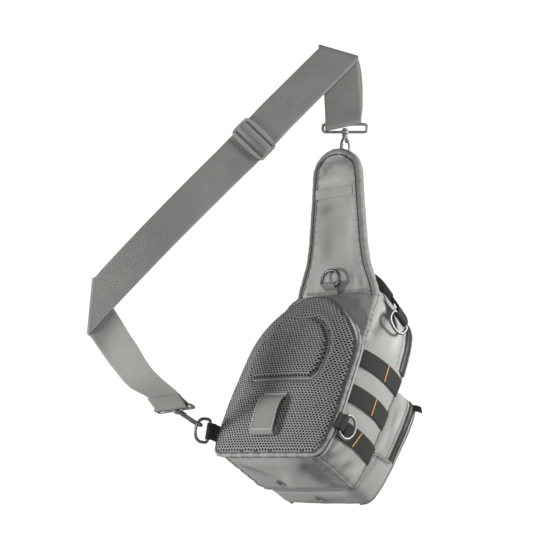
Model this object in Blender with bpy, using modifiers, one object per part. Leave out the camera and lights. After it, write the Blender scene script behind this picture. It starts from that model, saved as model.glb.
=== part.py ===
"""Sling pack: a one-shoulder bag on a webbing strap that closes with two swivel snap hooks.

The bag hangs as it is worn, from the fold at the top of its strap, which is the origin.
+Z is up. The back panel, which lies on the wearer, faces -Y, and the bag leans forward.
Bag sizes are in the bag's own frame: x to the right, y from the back panel to the pocket, z up.
"""

from collections import namedtuple
from math import cos, pi, radians, sin

import bmesh
import bpy
from mathutils import Matrix, Vector

MM = 0.001
GAP = 0.35
X_AXIS, Y_AXIS, Z_AXIS = Vector((1, 0, 0)), Vector((0, 1, 0)), Vector((0, 0, 1))

# Driving dimensions, in millimetres and degrees.
BAG_ORIGIN = (11.5, -153, -530.5)
BAG_PITCH = 31.1
BAG_ROLL = -1.2
STRAP_TURN = 46.2

FABRIC = 2.0
WEBBING = 1.6
STRAP_WIDTH = 50.0
ROW_WIDTH = 25.4
ROW_PITCH = 50.8
ROW_TOP = 158.0
ROW_REAR, ROW_FRONT = 25.0, 98.0
ZIP_REAR, ZIP_FRONT, ZIP_FOOT = 84.0, 95.0, 163.0
POCKET_FRONT = 142.0
RING_WIRE = 1.8
RING_INNER = 27.0
RING_REACH = 20.5
TAB_WIDTH = 22.0

Section = namedtuple(
    "Section", "z half_rear half_front y_rear y_front side_bulge rear_bulge front_bulge corner"
)
BODY = [
    Section(-9, 62, 62, 30, 84, 0, 0, 0, 14),
    Section(-6, 79, 80, 16, 96, 0, 0, 1, 12),
    Section(4, 87, 86, 12, 99, 3, 2, 2, 9),
    Section(27, 88, 87, 12, 101, 8, 5, 3, 8),
    Section(52, 87, 88, 12, 102, 11, 7, 4, 8),
    Section(100, 85, 88, 12, 102, 13, 9, 4, 8),
    Section(150, 84, 89, 12, 102, 12, 10, 4, 8),
    Section(198, 83, 85, 12, 101, 8, 10, 4, 8),
    Section(224, 79, 79, 13, 99, 5, 8, 3, 8),
    Section(243, 71, 68, 17, 95, 3, 5, 2, 9),
    Section(256, 62.5, 57, 27, 86, 2, 1, 1, 10),
    Section(266, 52, 47, 34, 74, 0, 0, 0, 12),
    Section(273, 38, 32, 42, 60, 0, 0, 0, 6),
]
POCKET = [
    Section(-7, 60, 60, 108, 126, 0, 0, 0, 8),
    Section(-4, 72, 70, 92, 136, 0, 0, 1, 9),
    Section(6, 82, 78, 92, 142, 1, 0, 3, 9),
    Section(35, 87, 85, 92, 144, 2, 0, 5, 8),
    Section(75, 89, 89, 92, 145, 3, 0, 6, 7),
    Section(115, 90, 91, 92, 145, 2, 0, 5, 7),
    Section(138, 89, 90, 92, 144, 1, 0, 3, 7),
    Section(146, 84, 84, 92, 139, 0, 0, 1, 8),
    Section(149, 72, 70, 92, 128, 0, 0, 0, 8),
]
PanelRow = namedtuple("PanelRow", "z mid half crown")
PANEL = [
    PanelRow(-6, 3, 84, -5),
    PanelRow(-4.5, 3, 90, -1),
    PanelRow(3, 2.5, 96.5, 2),
    PanelRow(20, 2, 100.5, 5),
    PanelRow(45, 1, 102.5, 9),
    PanelRow(75, -1.5, 102.5, 12),
    PanelRow(110, -3.5, 101, 14),
    PanelRow(145, -4.5, 98, 15.5),
    PanelRow(160, -4.5, 94, 16),
    PanelRow(178, -4, 82, 16),
    PanelRow(196, -3, 64, 15.5),
    PanelRow(211, -2, 44, 15),
    PanelRow(221, -1.5, 25, 15),
    PanelRow(226, -1, 8, 12),
]
YokeRow = namedtuple("YokeRow", "z half thickness")
YOKE = [
    YokeRow(196, 72, 7),
    YokeRow(210, 68.5, 9),
    YokeRow(226, 62, 9),
    YokeRow(244, 55, 9),
    YokeRow(270, 50, 9),
    YokeRow(300, 47, 9),
    YokeRow(335, 43.5, 9),
    YokeRow(366, 41, 9),
    YokeRow(380, 35, 9),
    YokeRow(388, 25, 8.5),
    YokeRow(393, 15, 8),
    YokeRow(395, 7, 7),
]
YOKE_X, YOKE_Y = -3.7, 143.5

parts = bpy.data.collections.new("sling_pack")
cutters = bpy.data.collections.new("cutters")


def clear_scene():
    for obj in list(bpy.data.objects):
        bpy.data.objects.remove(obj, do_unlink=True)
    for collection in (parts, cutters):
        bpy.context.scene.collection.children.link(collection)


def material(name, colour, roughness, metallic=0.0):
    made = bpy.data.materials.new(name)
    made.use_nodes = True
    shader = made.node_tree.nodes["Principled BSDF"]
    shader.inputs["Base Color"].default_value = (*colour, 1.0)
    shader.inputs["Roughness"].default_value = roughness
    shader.inputs["Metallic"].default_value = metallic
    return made


def frame(name, location, rotation):
    """An empty that carries the pieces built in its own frame."""
    made = bpy.data.objects.new(name, None)
    made.location = Vector(location) * MM
    made.rotation_euler = rotation
    parts.objects.link(made)
    return made


def place(obj, parent, origin=(0, 0, 0), x_axis=X_AXIS, z_axis=Z_AXIS):
    """Sets the object's frame inside its parent's, from an origin in mm and two axes."""
    z_axis = Vector(z_axis).normalized()
    x_axis = (Vector(x_axis) - Vector(x_axis).project(z_axis)).normalized()
    y_axis = z_axis.cross(x_axis)
    turn = Matrix((x_axis, y_axis, z_axis)).transposed().to_4x4()
    obj.parent = parent
    obj.matrix_local = Matrix.Translation(Vector(origin) * MM) @ turn
    return obj


def mesh_object(name, mesh, finish=None, smooth=35):
    obj = bpy.data.objects.new(name, mesh)
    if finish is None:
        cutters.objects.link(obj)
        obj.hide_render = True
        obj.display_type = "WIRE"
        return obj
    parts.objects.link(obj)
    mesh.materials.append(finish)
    mesh.shade_smooth()
    mesh.set_sharp_from_angle(angle=radians(smooth))
    return obj


def loft_mesh(name, rings, closed=True):
    """A skin over rings of equal length, in mm, with a flat cap on each end."""
    bm = bmesh.new()
    made = [[bm.verts.new(Vector(point) * MM) for point in ring] for ring in rings]
    count = len(rings[0])
    for low, high in zip(made, made[1:]):
        for i in range(count if closed else count - 1):
            j = (i + 1) % count
            bm.faces.new((low[i], low[j], high[j], high[i]))
    if closed:
        bm.faces.new(made[0])
        bm.faces.new(made[-1])
    bmesh.ops.recalc_face_normals(bm, faces=bm.faces)
    mesh = bpy.data.meshes.new(name)
    bm.to_mesh(mesh)
    bm.free()
    return mesh


def box_mesh(name, low, high):
    bm = bmesh.new()
    size = Vector(high) - Vector(low)
    middle = (Vector(high) + Vector(low)) / 2
    matrix = Matrix.Translation(middle * MM) @ Matrix.Diagonal((*(size * MM), 1.0))
    bmesh.ops.create_cube(bm, size=1.0, matrix=matrix)
    mesh = bpy.data.meshes.new(name)
    bm.to_mesh(mesh)
    bm.free()
    return mesh


def cylinder_mesh(name, radius, depth, segments=16, matrix=None):
    bm = bmesh.new()
    bmesh.ops.create_cone(
        bm, cap_ends=True, segments=segments, radius1=radius * MM, radius2=radius * MM,
        depth=depth * MM, matrix=matrix or Matrix.Identity(4),
    )
    mesh = bpy.data.meshes.new(name)
    bm.to_mesh(mesh)
    bm.free()
    return mesh


def boolean(obj, operation, other):
    step = obj.modifiers.new(f"{operation.lower()} {other.name}", "BOOLEAN")
    step.operation = operation
    step.object = other
    return obj


def wire(name, points, radius, finish, cyclic=False):
    """A round wire through the points, in mm, as a closed mesh."""
    curve = bpy.data.curves.new(name, "CURVE")
    curve.dimensions = "3D"
    curve.bevel_depth = radius * MM
    curve.bevel_resolution = 2
    curve.use_fill_caps = not cyclic
    spline = curve.splines.new("POLY")
    spline.points.add(len(points) - 1)
    for control, point in zip(spline.points, points):
        control.co = (*(Vector(point) * MM), 1.0)
    spline.use_cyclic_u = cyclic
    guide = bpy.data.objects.new(name + "_guide", curve)
    cutters.objects.link(guide)
    graph = bpy.context.evaluated_depsgraph_get()
    mesh = bpy.data.meshes.new_from_object(guide.evaluated_get(graph))
    bpy.data.objects.remove(guide, do_unlink=True)
    bm = bmesh.new()
    bm.from_mesh(mesh)
    bmesh.ops.remove_doubles(bm, verts=bm.verts, dist=0.00001)
    bmesh.ops.recalc_face_normals(bm, faces=bm.faces)
    bm.to_mesh(mesh)
    bm.free()
    mesh.name = name
    mesh.materials.clear()
    return mesh_object(name, mesh, finish)


def ribbon(name, stations, thickness, finish, across=1):
    """A strip through (centre, half width) stations, in mm, thickened evenly about its middle."""
    steps = [2 * i / across - 1 for i in range(across + 1)]
    rows = [[Vector(c) + Vector(h) * s for s in steps] for c, h in stations]
    obj = mesh_object(name, loft_mesh(name, rows, closed=False), finish)
    solid = obj.modifiers.new("Solidify", "SOLIDIFY")
    solid.thickness = thickness * MM
    solid.offset = 0.0
    solid.use_even_offset = True
    return obj


def mixed(rows, z):
    """The table's row at height z, eased between the rows above and below it."""
    rows = sorted(rows, key=lambda row: row.z)
    z = min(max(z, rows[0].z), rows[-1].z)
    for i in range(len(rows) - 1):
        if z <= rows[i + 1].z:
            break
    before, low, high = rows[max(i - 1, 0)], rows[i], rows[i + 1]
    after = rows[min(i + 2, len(rows) - 1)]
    span = high.z - low.z
    t = (z - low.z) / span
    values = []
    for a, b, c, d in zip(before, low, high, after):
        slope_low = (c - a) / (high.z - before.z) * span
        slope_high = (d - b) / (after.z - low.z) * span
        values.append(
            (2 * t**3 - 3 * t**2 + 1) * b + (t**3 - 2 * t**2 + t) * slope_low
            + (3 * t**2 - 2 * t**3) * c + (t**3 - t**2) * slope_high
        )
    return type(low)(*values)._replace(z=z)


def ring_of(section, grow=0.0):
    """A rounded four-sided ring whose sides swell outwards, grown evenly by a margin in mm."""
    corners = [
        Vector((-section.half_rear, section.y_rear)), Vector((section.half_rear, section.y_rear)),
        Vector((section.half_front, section.y_front)), Vector((-section.half_front, section.y_front)),
    ]
    bulges = [section.rear_bulge, section.side_bulge, section.front_bulge, section.side_bulge]
    sides = []
    for k in range(4):
        start, end = corners[k], corners[(k + 1) % 4]
        along = end - start
        outward = Vector((along.y, -along.x)).normalized()
        trim = section.corner / along.length
        row = []
        count = 7 if k % 2 else 5
        for i in range(count):
            t = trim + (1 - 2 * trim) * i / (count - 1)
            row.append(start + along * t + outward * (bulges[k] * (1 - (2 * t - 1) ** 2) + grow))
        sides.append(row)
    ring = []
    for k in range(4):
        ring += sides[k]
        last, first = sides[k][-1], sides[(k + 1) % 4][0]
        corner = corners[(k + 1) % 4] + (corners[(k + 1) % 4] - (last + first) / 2).normalized() * grow
        for t in (1 / 3, 2 / 3):
            ring.append(last * (1 - t) ** 2 + corner * 2 * t * (1 - t) + first * t**2)
    return [(point.x, point.y, section.z) for point in ring]


def heights(rows, step):
    """Even heights between each pair of rows, no further apart than the step."""
    levels = []
    for low, high in zip(rows, rows[1:]):
        count = max(1, round((high.z - low.z) / step))
        levels += [low.z + (high.z - low.z) * i / count for i in range(count)]
    return levels + [rows[-1].z]


def lofted(name, rows, grow=0.0, finish=None, step=30):
    rings = [ring_of(mixed(rows, z), grow) for z in heights(rows, step)]
    for ring, shift in ((rings[0], -grow), (rings[-1], grow)):
        ring[:] = [(x, y, z + shift) for x, y, z in ring]
    return mesh_object(name, loft_mesh(name, rings), finish)


def side_x(y, z):
    """Half the bag's width at this depth and height."""
    section = mixed(BODY, z)
    t = (y - section.y_rear) / (section.y_front - section.y_rear)
    flat = section.half_rear + (section.half_front - section.half_rear) * t
    return flat + section.side_bulge * (1 - (2 * t - 1) ** 2)


def panel_y(x, z):
    """The depth of the mesh panel's outer face."""
    row = mixed(PANEL, z)
    return 1.0 - row.crown * (1 - min(1, abs(x - row.mid) / 100) ** 3)


def build_body(bag, fabric, zip_tape, grommet):
    body = place(lofted("main_body", BODY, finish=fabric), bag)
    hollow = place(lofted("body_hollow", BODY, -FABRIC), bag)
    slot = place(mesh_object("zip_slot", box_mesh("zip_slot", (-130, ZIP_REAR, ZIP_FOOT),
                                                  (130, ZIP_FRONT, 320))), bag)
    recess = place(mesh_object("eyelet_recess", cylinder_mesh("eyelet_recess", 6.4, 2.5)), bag, (-26, 74, -9))
    drain = place(mesh_object("drain", cylinder_mesh("drain", 3.2, 14, 12)), bag, (-26, 74, -8))
    for cutter in (recess, hollow, slot, drain):
        boolean(body, "DIFFERENCE", cutter)

    zipper = place(lofted("main_zipper", BODY, -0.3, zip_tape), bag)
    inside = place(lofted("zipper_inside", BODY, 0.3 - FABRIC), bag)
    band = place(mesh_object("zip_band", box_mesh("zip_band", (-130, ZIP_REAR + GAP, ZIP_FOOT + GAP),
                                                  (130, ZIP_FRONT - GAP, 320))), bag)
    boolean(zipper, "DIFFERENCE", inside)
    boolean(zipper, "INTERSECT", band)
    build_grommet("bottom_grommet", bag, (-26, 74, -7.75 - GAP), 0.8, grommet)
    return place(lofted("body_keepout", BODY, GAP + 0.25), bag)


def build_grommet(name, parent, origin, depth, finish):
    """A pressed eyelet: a washer under the fabric at its origin."""
    washer = mesh_object(name, cylinder_mesh(name, 6.0, depth, 16), finish)
    hole = mesh_object(name + "_hole", cylinder_mesh(name + "_hole", 2.9, 8, 12))
    for obj in (washer, hole):
        place(obj, parent, Vector(origin) - Z_AXIS * depth / 2)
    boolean(washer, "DIFFERENCE", hole)


def build_panel(bag, keepout, mesh_fabric, webbing):
    columns = [-1, -0.985, -0.94, -0.75, -0.5, -0.25, 0, 0.25, 0.5, 0.75, 0.94, 0.985, 1]
    rings = []
    for z in heights(PANEL, 24):
        row = mixed(PANEL, z)
        ring = []
        for u in columns:
            edge = {1: 5.0, 0.985: 1.6}.get(abs(u), 0.0)
            x = row.mid + row.half * u
            ring.append((x, panel_y(x, z) + edge, z))
        ring += [(row.mid + row.half * u, 13, z) for u in reversed(columns)]
        rings.append(ring)
    panel = place(mesh_object("mesh_panel", loft_mesh("mesh_panel", rings), mesh_fabric), bag)
    boolean(panel, "DIFFERENCE", keepout)

    rings = []
    for scale, lift in ((0.3, 0.8), (0.65, 0.8), (0.97, 0.8), (1, 1.6), (0.97, 4.4), (0.88, 6.2),
                        (0.6, 6.8), (0.25, 7)):
        ring = []
        for x, z in lumbar_outline():
            x, z = LUMBAR_X + x * scale, 138 + (z - 138) * scale
            ring.append((x, panel_y(x, z) - lift, z))
        rings.append(ring)
    place(mesh_object("lumbar_pad", loft_mesh("lumbar_pad", rings), mesh_fabric), bag)

    low, high, loop_width = 15.5, 67.0, 42.0
    profile = [
        (low + 12, 1.5), (low + 5, 1.6), (low + 1.2, 2.6), (low, 5), (low + 1.2, 7.6), (low + 6, 9), (42, 10),
        (high - 14, 9.5), (high - 5, 7.5), (high, 4.5), (high + 3, 1.8), (high + 7, 1.5),
    ]
    stations = [((-1, panel_y(0, z) - lift, z), (loop_width / 2, 0, 0)) for z, lift in profile]
    place(ribbon("belt_loop", stations, WEBBING, webbing), bag)


LUMBAR_X = -4.0


def lumbar_outline():
    """The raised pad's outline as (x, z): an arch over a straight foot with rounded corners."""
    foot, top, half = 96, 189, 62
    outline = []
    for i in range(17):
        angle = pi * i / 16
        outline.append((half * cos(angle), foot + 36 + (top - foot - 36) * sin(angle)))
    left = [(-61, 116), (-58.5, 103), (-55, 98), (-50, foot)]
    middle = [(x, foot) for x in (-25, 0, 25)]
    return outline + left + middle + [(-x, z) for x, z in reversed(left)]


def build_rows(bag, dark_webbing):
    """Three rows of webbing on each side, each tacked at its middle, and three on the pocket."""
    lift = 1.0 + WEBBING / 2
    for side, hand in ((1, "right"), (-1, "left")):
        for number in range(3):
            z = ROW_TOP - ROW_WIDTH / 2 - ROW_PITCH * number
            stations = []
            for i in range(9):
                y = ROW_REAR + (ROW_FRONT - ROW_REAR) * i / 8
                tuck = 0.5 if i in (0, 8) else 0.0
                x_low, x_high = (side_x(y, z + s * ROW_WIDTH / 2) + lift - tuck for s in (-1, 1))
                centre = Vector((side * (x_low + x_high) / 2, y, z))
                stations.append((centre, (side * (x_high - x_low) / 2, 0, ROW_WIDTH / 2)))
            place(ribbon(f"side_row_{hand}_{number + 1}", stations, WEBBING, dark_webbing), bag)
    for number in range(2):
        z = 96 - ROW_PITCH * number
        stations = []
        for i in range(11):
            x = -70 + 14 * i
            stations.append(((x, pocket_y(x, z) + lift - 0.8, z), (0, 0, ROW_WIDTH / 2)))
        place(ribbon(f"pocket_row_{number + 1}", stations, WEBBING, dark_webbing), bag)


def pocket_y(x, z):
    """The depth of the pocket's front face, at the higher of the row's two edges."""
    deepest = 0
    for edge in (-1, 0, 1):
        section = mixed(POCKET, z + edge * ROW_WIDTH / 2)
        t = x / section.half_front
        deepest = max(deepest, section.y_front + section.front_bulge * (1 - t * t))
    return deepest


def build_pocket(bag, keepout, fabric, zip_tape, grommet):
    pocket = place(lofted("front_pocket", POCKET, finish=fabric), bag)
    hollow = place(lofted("pocket_hollow", POCKET, -FABRIC), bag)
    back = place(mesh_object("pocket_back", box_mesh("pocket_back", (-120, 60, -30), (120, 97, 180))), bag)
    low, high, foot = POCKET_FRONT - 14, POCKET_FRONT - 5.5, 56
    slot = place(mesh_object("pocket_slot", box_mesh("pocket_slot", (-120, low, foot), (120, high, 180))), bag)
    drain = place(mesh_object("pocket_drain", cylinder_mesh("pocket_drain", 3.2, 14, 12)), bag, (5, 119, -6))
    for cutter in (hollow, back, keepout, slot, drain):
        boolean(pocket, "DIFFERENCE", cutter)

    zipper = place(lofted("pocket_zipper", POCKET, -0.3, zip_tape), bag)
    inside = place(lofted("pocket_zip_inside", POCKET, 0.3 - FABRIC), bag)
    band = place(mesh_object("pocket_band", box_mesh("pocket_band", (-120, low + GAP, foot + GAP),
                                                     (120, high - GAP, 180))), bag)
    boolean(zipper, "DIFFERENCE", inside)
    boolean(zipper, "INTERSECT", band)
    build_grommet("pocket_grommet", bag, (5, 119, -7 - GAP), 1.2, grommet)
    end = [((x, y, z), (0, -3.2, 3.2)) for x, y, z in ((90.6, 136.2, 139.2), (96, 138.5, 140), (101.5, 141, 139))]
    place(ribbon("pocket_zip_tab", end, 2.6, zip_tape), bag)


def ring_point(angle):
    """A point of the D-ring's bow in its own x-z plane; 90 degrees is the middle of the bow."""
    half = RING_INNER / 2 + RING_WIRE
    rise = RING_REACH - half * 0.72
    return half * cos(radians(angle)), rise + half * 0.72 * sin(radians(angle))


def d_ring_points():
    """A D outline in its own x-z plane: a straight bar on the x axis and a bow above it."""
    half = RING_INNER / 2 + RING_WIRE
    corner = 4.0
    right = [(half - corner + corner * sin(a), corner - corner * cos(a)) for a in (0, pi / 4, pi / 2)]
    bow = [ring_point(15 * i) for i in range(13)]
    left = [(-x, z) for x, z in reversed(right)]
    return [(x, 0, z) for x, z in [(0, 0)] + right + bow + left]


# Flat webbing from the yoke's foot to the upper rings: centre and half width, on the right side.
SHOULDER_WEB = [
    (49.5, 28, 272.5, 3, 2, -9.5),
    (60.5, 35, 266, 3.5, 2, -9.5),
    (74, 44, 253.5, 4.5, 0, -8.5),
]


def build_ring(name, parent, origin, bar, bow, metal, tab_name, tab_path, tab_finish):
    """A D-ring on its bar, and the doubled webbing tab that folds round the bar and runs to its root."""
    ring = wire(name, d_ring_points(), RING_WIRE, metal, cyclic=True)
    place(ring, parent, origin, x_axis=bar, z_axis=bow)
    bar = (Vector(bar) - Vector(bar).project(Vector(bow))).normalized()
    path = [Vector(origin)] + [Vector(point) for point in tab_path]
    radius = (RING_WIRE + GAP + WEBBING / 2) / cos(pi / 10)
    half = bar * TAB_WIDTH / 2
    back = path[1] - path[0]
    back = (back - back.project(bar)).normalized()
    normal = bar.cross(back)
    legs = {1: [], -1: []}
    for side, leg in legs.items():
        for i in range(len(path) - 1, 0, -1):
            run = path[min(i + 1, len(path) - 1)] - path[i - 1]
            off = bar.cross(run).normalized() * (WEBBING / 2 + 0.2)
            leg.append((path[i] + off * side, half))
        leg.append((path[0] + back * radius * 1.4 + normal * (side * radius * 0.8), half))
        leg.append((path[0] + normal * (side * radius), half))
    wrap = [(path[0] - back * (radius * sin(a)) + normal * (radius * cos(a)), half)
            for a in (pi / 5, 2 * pi / 5, 3 * pi / 5, 4 * pi / 5)]
    place(ribbon(tab_name, legs[1] + wrap + legs[-1][::-1], WEBBING, tab_finish), parent)


def build_yoke(upright, fabric, keepout):
    """The padded yoke stands upright above the bag, in a frame that only shares the bag's origin."""
    rings = []
    for row in YOKE:
        ring = []
        for i in range(16):
            angle = 2 * pi * i / 16
            x = abs(cos(angle)) ** 0.55 * (1 if cos(angle) >= 0 else -1) * row.half
            y = abs(sin(angle)) ** 0.75 * (1 if sin(angle) >= 0 else -1) * row.thickness / 2
            ring.append((YOKE_X + x, YOKE_Y + y, row.z))
        rings.append(ring)
    yoke = place(mesh_object("yoke_pad", loft_mesh("yoke_pad", rings), fabric), upright)
    boolean(yoke, "DIFFERENCE", keepout)


# Snap hooks. Their own frame has its origin in the eye of the swivel and z along the hook's axis.
LOOP_HALF, LOOP_TALL, LOOP_WIRE = 29.6, 10.4, 1.8
HOOK_BOTTOM, HOOK_WIRE, BIGHT, BIGHT_X = 48.0, 2.6, 5.6, 1.4
GATE_X, GATE_Z = 3.3, -12.5


def hook_loop(name, parent, origin, bar, up, metal):
    """The oblong loop that takes the strap, with the swivel's eye at the middle of its lower bar."""
    corner = 3.4
    points = [(0, 0)]
    for x, z, start in (
        (LOOP_HALF - corner, corner, -pi / 2), (LOOP_HALF - corner, LOOP_TALL - corner, 0),
        (corner - LOOP_HALF, LOOP_TALL - corner, pi / 2), (corner - LOOP_HALF, corner, pi),
    ):
        points += [(x + corner * cos(start + a), z + corner * sin(start + a)) for a in (0, pi / 4, pi / 2)]
    loop = wire(name, [(x, 0, z) for x, z in points], LOOP_WIRE, metal, cyclic=True)
    eye = mesh_object(name + "_eye", cylinder_mesh(name + "_eye", 5.2, 4.4, 16))
    bore = mesh_object(name + "_bore", cylinder_mesh(name + "_bore", 3.0, 12.0, 16))
    for obj in (loop, eye, bore):
        place(obj, parent, origin, x_axis=bar, z_axis=up)
    boolean(loop, "UNION", eye)
    boolean(loop, "DIFFERENCE", bore)


def hook_body(name, parent, origin, side, up, metal):
    """The hook: a swivel pin with its head and collar, a spine, and a round bight up to a short nose."""
    foot = BIGHT - HOOK_BOTTOM
    left, right = BIGHT_X - BIGHT, BIGHT_X + BIGHT
    spine = [(0, -5.6), (-0.6, -8), (-2.6, -11.5), (left + 0.2, -15.5), (left, -20), (left, foot)]
    bight = [(BIGHT_X - BIGHT * cos(a), foot - BIGHT * sin(a)) for a in (pi * k / 8 for k in range(1, 9))]
    points = [(x, 0, z) for x, z in spine + bight + [(right, foot + 5)]]
    hook = wire(name, points, HOOK_WIRE, metal)
    place(hook, parent, origin, x_axis=side, z_axis=up)
    for part, radius, low, high in (("collar", 3.9, -6.6, -3.4), ("pin", 1.9, -6, 4.4), ("head", 3.5, 3.5, 5.2)):
        centre = Matrix.Translation((0, 0, (low + high) / 2 * MM))
        solid = mesh_object(f"{name}_{part}", cylinder_mesh(part, radius, high - low, 14, centre))
        place(solid, parent, origin, x_axis=side, z_axis=up)
        boolean(hook, "UNION", solid)


def hook_gate(name, parent, origin, side, up, metal):
    """The sprung gate: its barrel turns at the neck, and its free end rests just above the nose."""
    nose_x, nose_z = BIGHT_X + BIGHT, BIGHT - HOOK_BOTTOM + 5
    end_x, end_z = nose_x - 0.8 - GATE_X, nose_z + 0.9 - GATE_Z
    points = [(0, 0, 0), (end_x - 0.2, 0, -4.5), (end_x, 0, -10), (end_x, 0, end_z)]
    gate = wire(name, points, 1.5, metal)
    turn = Matrix.Rotation(pi / 2, 4, "X")
    barrel = mesh_object(name + "_barrel", cylinder_mesh(name + "_barrel", 2.3, 5.2, 14, turn))
    up = Vector(up).normalized()
    side = (Vector(side) - Vector(side).project(up)).normalized()
    pivot = Vector(origin) + side * GATE_X + up * GATE_Z
    for obj in (gate, barrel):
        place(obj, parent, pivot, x_axis=side, z_axis=up)
    boolean(gate, "UNION", barrel)


def hook_catch(swivel, side, up):
    """Where a D-ring's wire lies in the hook."""
    up = Vector(up).normalized()
    side = (Vector(side) - Vector(side).project(up)).normalized()
    return Vector(swivel) - up * (HOOK_BOTTOM - HOOK_WIRE - GAP - RING_WIRE) + side * BIGHT_X


# The strap, in its own frame: x to the right, y away from the wearer, z up.
Station = namedtuple("Station", "x y z across_x across_y across_z")
STRAP_LIFT = 1.5
FOLD_RADIUS, FOLD_Z = 4.6, -4.3
FOLD_HALF = Vector((26.7, 0, -7.85))
TOP_SWIVEL = Vector((8.2, -4.7, -110.5))
TOP_BAR = Vector((0.976, 0, 0.216))
TOP_UP = Vector((-0.216, 0, 0.976))
RISE = [
    Station(6.4, -4.1, -91, 24.5, 0, 5.0),
    Station(6.4, -3.0, -80, 24.8, 0, 3.6),
    Station(4.8, 0.0, -50, 25, 0, 0.5),
    Station(2.6, 3.0, -24, 25.8, 0, -4.5),
    Station(0.8, 4.3, -11, 26.5, 0, -7.4),
]
# The straight lengths between folds, by their two edges: the start and the end of each edge.
DESCENT_LEFT = Vector((-26.7, -4.6, 3.5)), Vector((-118.6, -22, -90.9))
DESCENT_RIGHT = Vector((26.7, -4.6, -12.2)), Vector((-83.2, -22, -125.9))
SLIDER = Vector((-113.9, -26, -123))
SLIDER_ACROSS = Vector((0.72, 0, -0.694))
SLIDER_PLATE = 3.0
RUN_LEFT = Vector((-118.6, 0, -90.9)), Vector((-321.2, 0, -312))
RUN_RIGHT = Vector((-83.2, 0, -125.9)), Vector((-327.8, 0, -386))
Share = namedtuple("Share", "left right y_left y_right")
DESCENT = [
    Share(0.07, 0.07, None, None),
    Share(0.2, 0.25, None, None),
    Share(0.4, 0.48, None, None),
    Share(0.62, 0.685, None, None),
    Share(0.8, 0.833, None, None),
]
RUN = [
    Share(0.21, 0.18, -32, -32),
    Share(0.36, 0.31, -50, -50),
    Share(0.52, 0.44, -66, -66),
    Share(0.68, 0.57, -78, -78),
    Share(0.8, 0.69, -83, -83),
    Share(0.88, 0.79, -84.5, -84.5),
    Share(0.95, 0.9, -85, -85),
    Share(1, 1, -85, -85),
]
RETURN_LEFT = Vector((-327.8, 0, -386)), Vector((-303.5, 0, -420.5))
RETURN_RIGHT = Vector((-321.2, 0, -312)), Vector((-273.5, 0, -387))
RETURN = [
    Share(0, 0, -80.7, -80.7),
    Share(0.1, 0.26, -81, -80.5),
    Share(0.33, 0.5, -81.5, -80.5),
    Share(0.62, 0.74, -82, -84),
    Share(1, 1, -84, -97),
]
LOWER_END = [
    Station(-281.5, -97, -413.5, 18.4, -12, 12),
    Station(-258.5, -103.5, -443.5, 16.6, -15.8, 9.9),
]
LOWER_SWIVEL = Vector((-213.4, -80, -484))
LOWER_UP = Vector((-0.57, -0.72, 0.395)).normalized()
LOWER_BAR = Vector((0.84, -0.55, 0.10))
LOWER_SIDE = Vector((0.694, -0.676, -0.23))
LOWER_APPROACH = Vector((-0.48, -0.607, 0.633))
LOWER_RING_BAR = Vector((0.165, 0, 0.986))
LOWER_RING_BOW = Vector((-0.845, -0.515, 0.141))


def stations_of(rows):
    return [(Vector(row[:3]), Vector(row[3:])) for row in rows]


def between_edges(left, right, shares):
    """Stations across a length of strap, from the share of the way down each of its edges."""
    found = []
    for share in shares:
        a, b = left[0].lerp(left[1], share.left), right[0].lerp(right[1], share.right)
        if share.y_left is not None:
            a.y, b.y = share.y_left, share.y_right
        found.append(((a + b) / 2, (b - a) / 2))
    return found


def normals_of(stations):
    """Each station's unit normal: the strap's run crossed with its width."""
    found = []
    for i, (_, across) in enumerate(stations):
        run = stations[min(i + 1, len(stations) - 1)][0] - stations[max(i - 1, 0)][0]
        found.append(run.cross(across).normalized())
    return found


def shifted(stations, offsets):
    normals = normals_of(stations)
    return [(centre + normal * offset, across)
            for (centre, across), normal, offset in zip(stations, normals, offsets)]


def slider_pass(sign, half):
    """The way into the slider from above (sign 1) or below: under the rail, up, and over the middle bar."""
    depth = SLIDER_PLATE / 2 + GAP + half
    profile = [(23, depth), (14, depth), (11, depth - 0.1), (7, 0), (3, 0.1 - depth), (0.35, -depth)]
    across = SLIDER_ACROSS.normalized()
    along = Vector((-across.z, 0, across.x))
    return [(SLIDER + along * (sign * a) + Y_AXIS * d, across * STRAP_WIDTH / 2) for a, d in profile]


def wrap_round(bar_centre, bar, out, side, angles):
    """Stations on a half turn round a hook's bar, starting on one side and going under it."""
    radius = (LOOP_WIRE + GAP + WEBBING / 2) / cos(pi / 10)
    return [(bar_centre + side * (radius * cos(a)) - out * (radius * sin(a)), bar * STRAP_WIDTH / 2)
            for a in (pi * share for share in angles)]


FIFTHS = (0, 0.2, 0.4, 0.6, 0.8, 1)


def build_strap_doubled(strap, webbing):
    """From the top hook's bar over the shoulder fold to the slider, as two layers in one piece."""
    layer = (WEBBING + 0.3) / 2
    bar_centre = TOP_SWIVEL + TOP_UP * LOOP_TALL
    fold = []
    for k in range(7):
        angle = pi * k / 6
        fold.append((Vector((0, FOLD_RADIUS * cos(angle), FOLD_Z + FOLD_RADIUS * sin(angle))), FOLD_HALF))
    middle = stations_of(RISE) + fold + between_edges(DESCENT_LEFT, DESCENT_RIGHT, DESCENT)
    middle += slider_pass(1, layer + WEBBING / 2)
    offsets = [2.3, 1.3] + [layer] * (len(middle) - 2)
    spread = [0.5, 1.5, 3, 3, 2.5, 1.5, 0.5] + [0] * (len(middle) - 7)
    far = [(centre + X_AXIS * out, across)
           for (centre, across), out in zip(shifted(middle, offsets), spread)]
    near = shifted(middle, [-offset for offset in offsets])
    wrap = wrap_round(bar_centre, TOP_BAR, TOP_UP, normals_of(middle)[0], FIFTHS)
    wrap = [(centre, TOP_BAR * STRAP_WIDTH / 2) for centre, _ in wrap]
    place(ribbon("strap_doubled", far[::-1] + wrap + near, WEBBING, webbing), strap)


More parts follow.
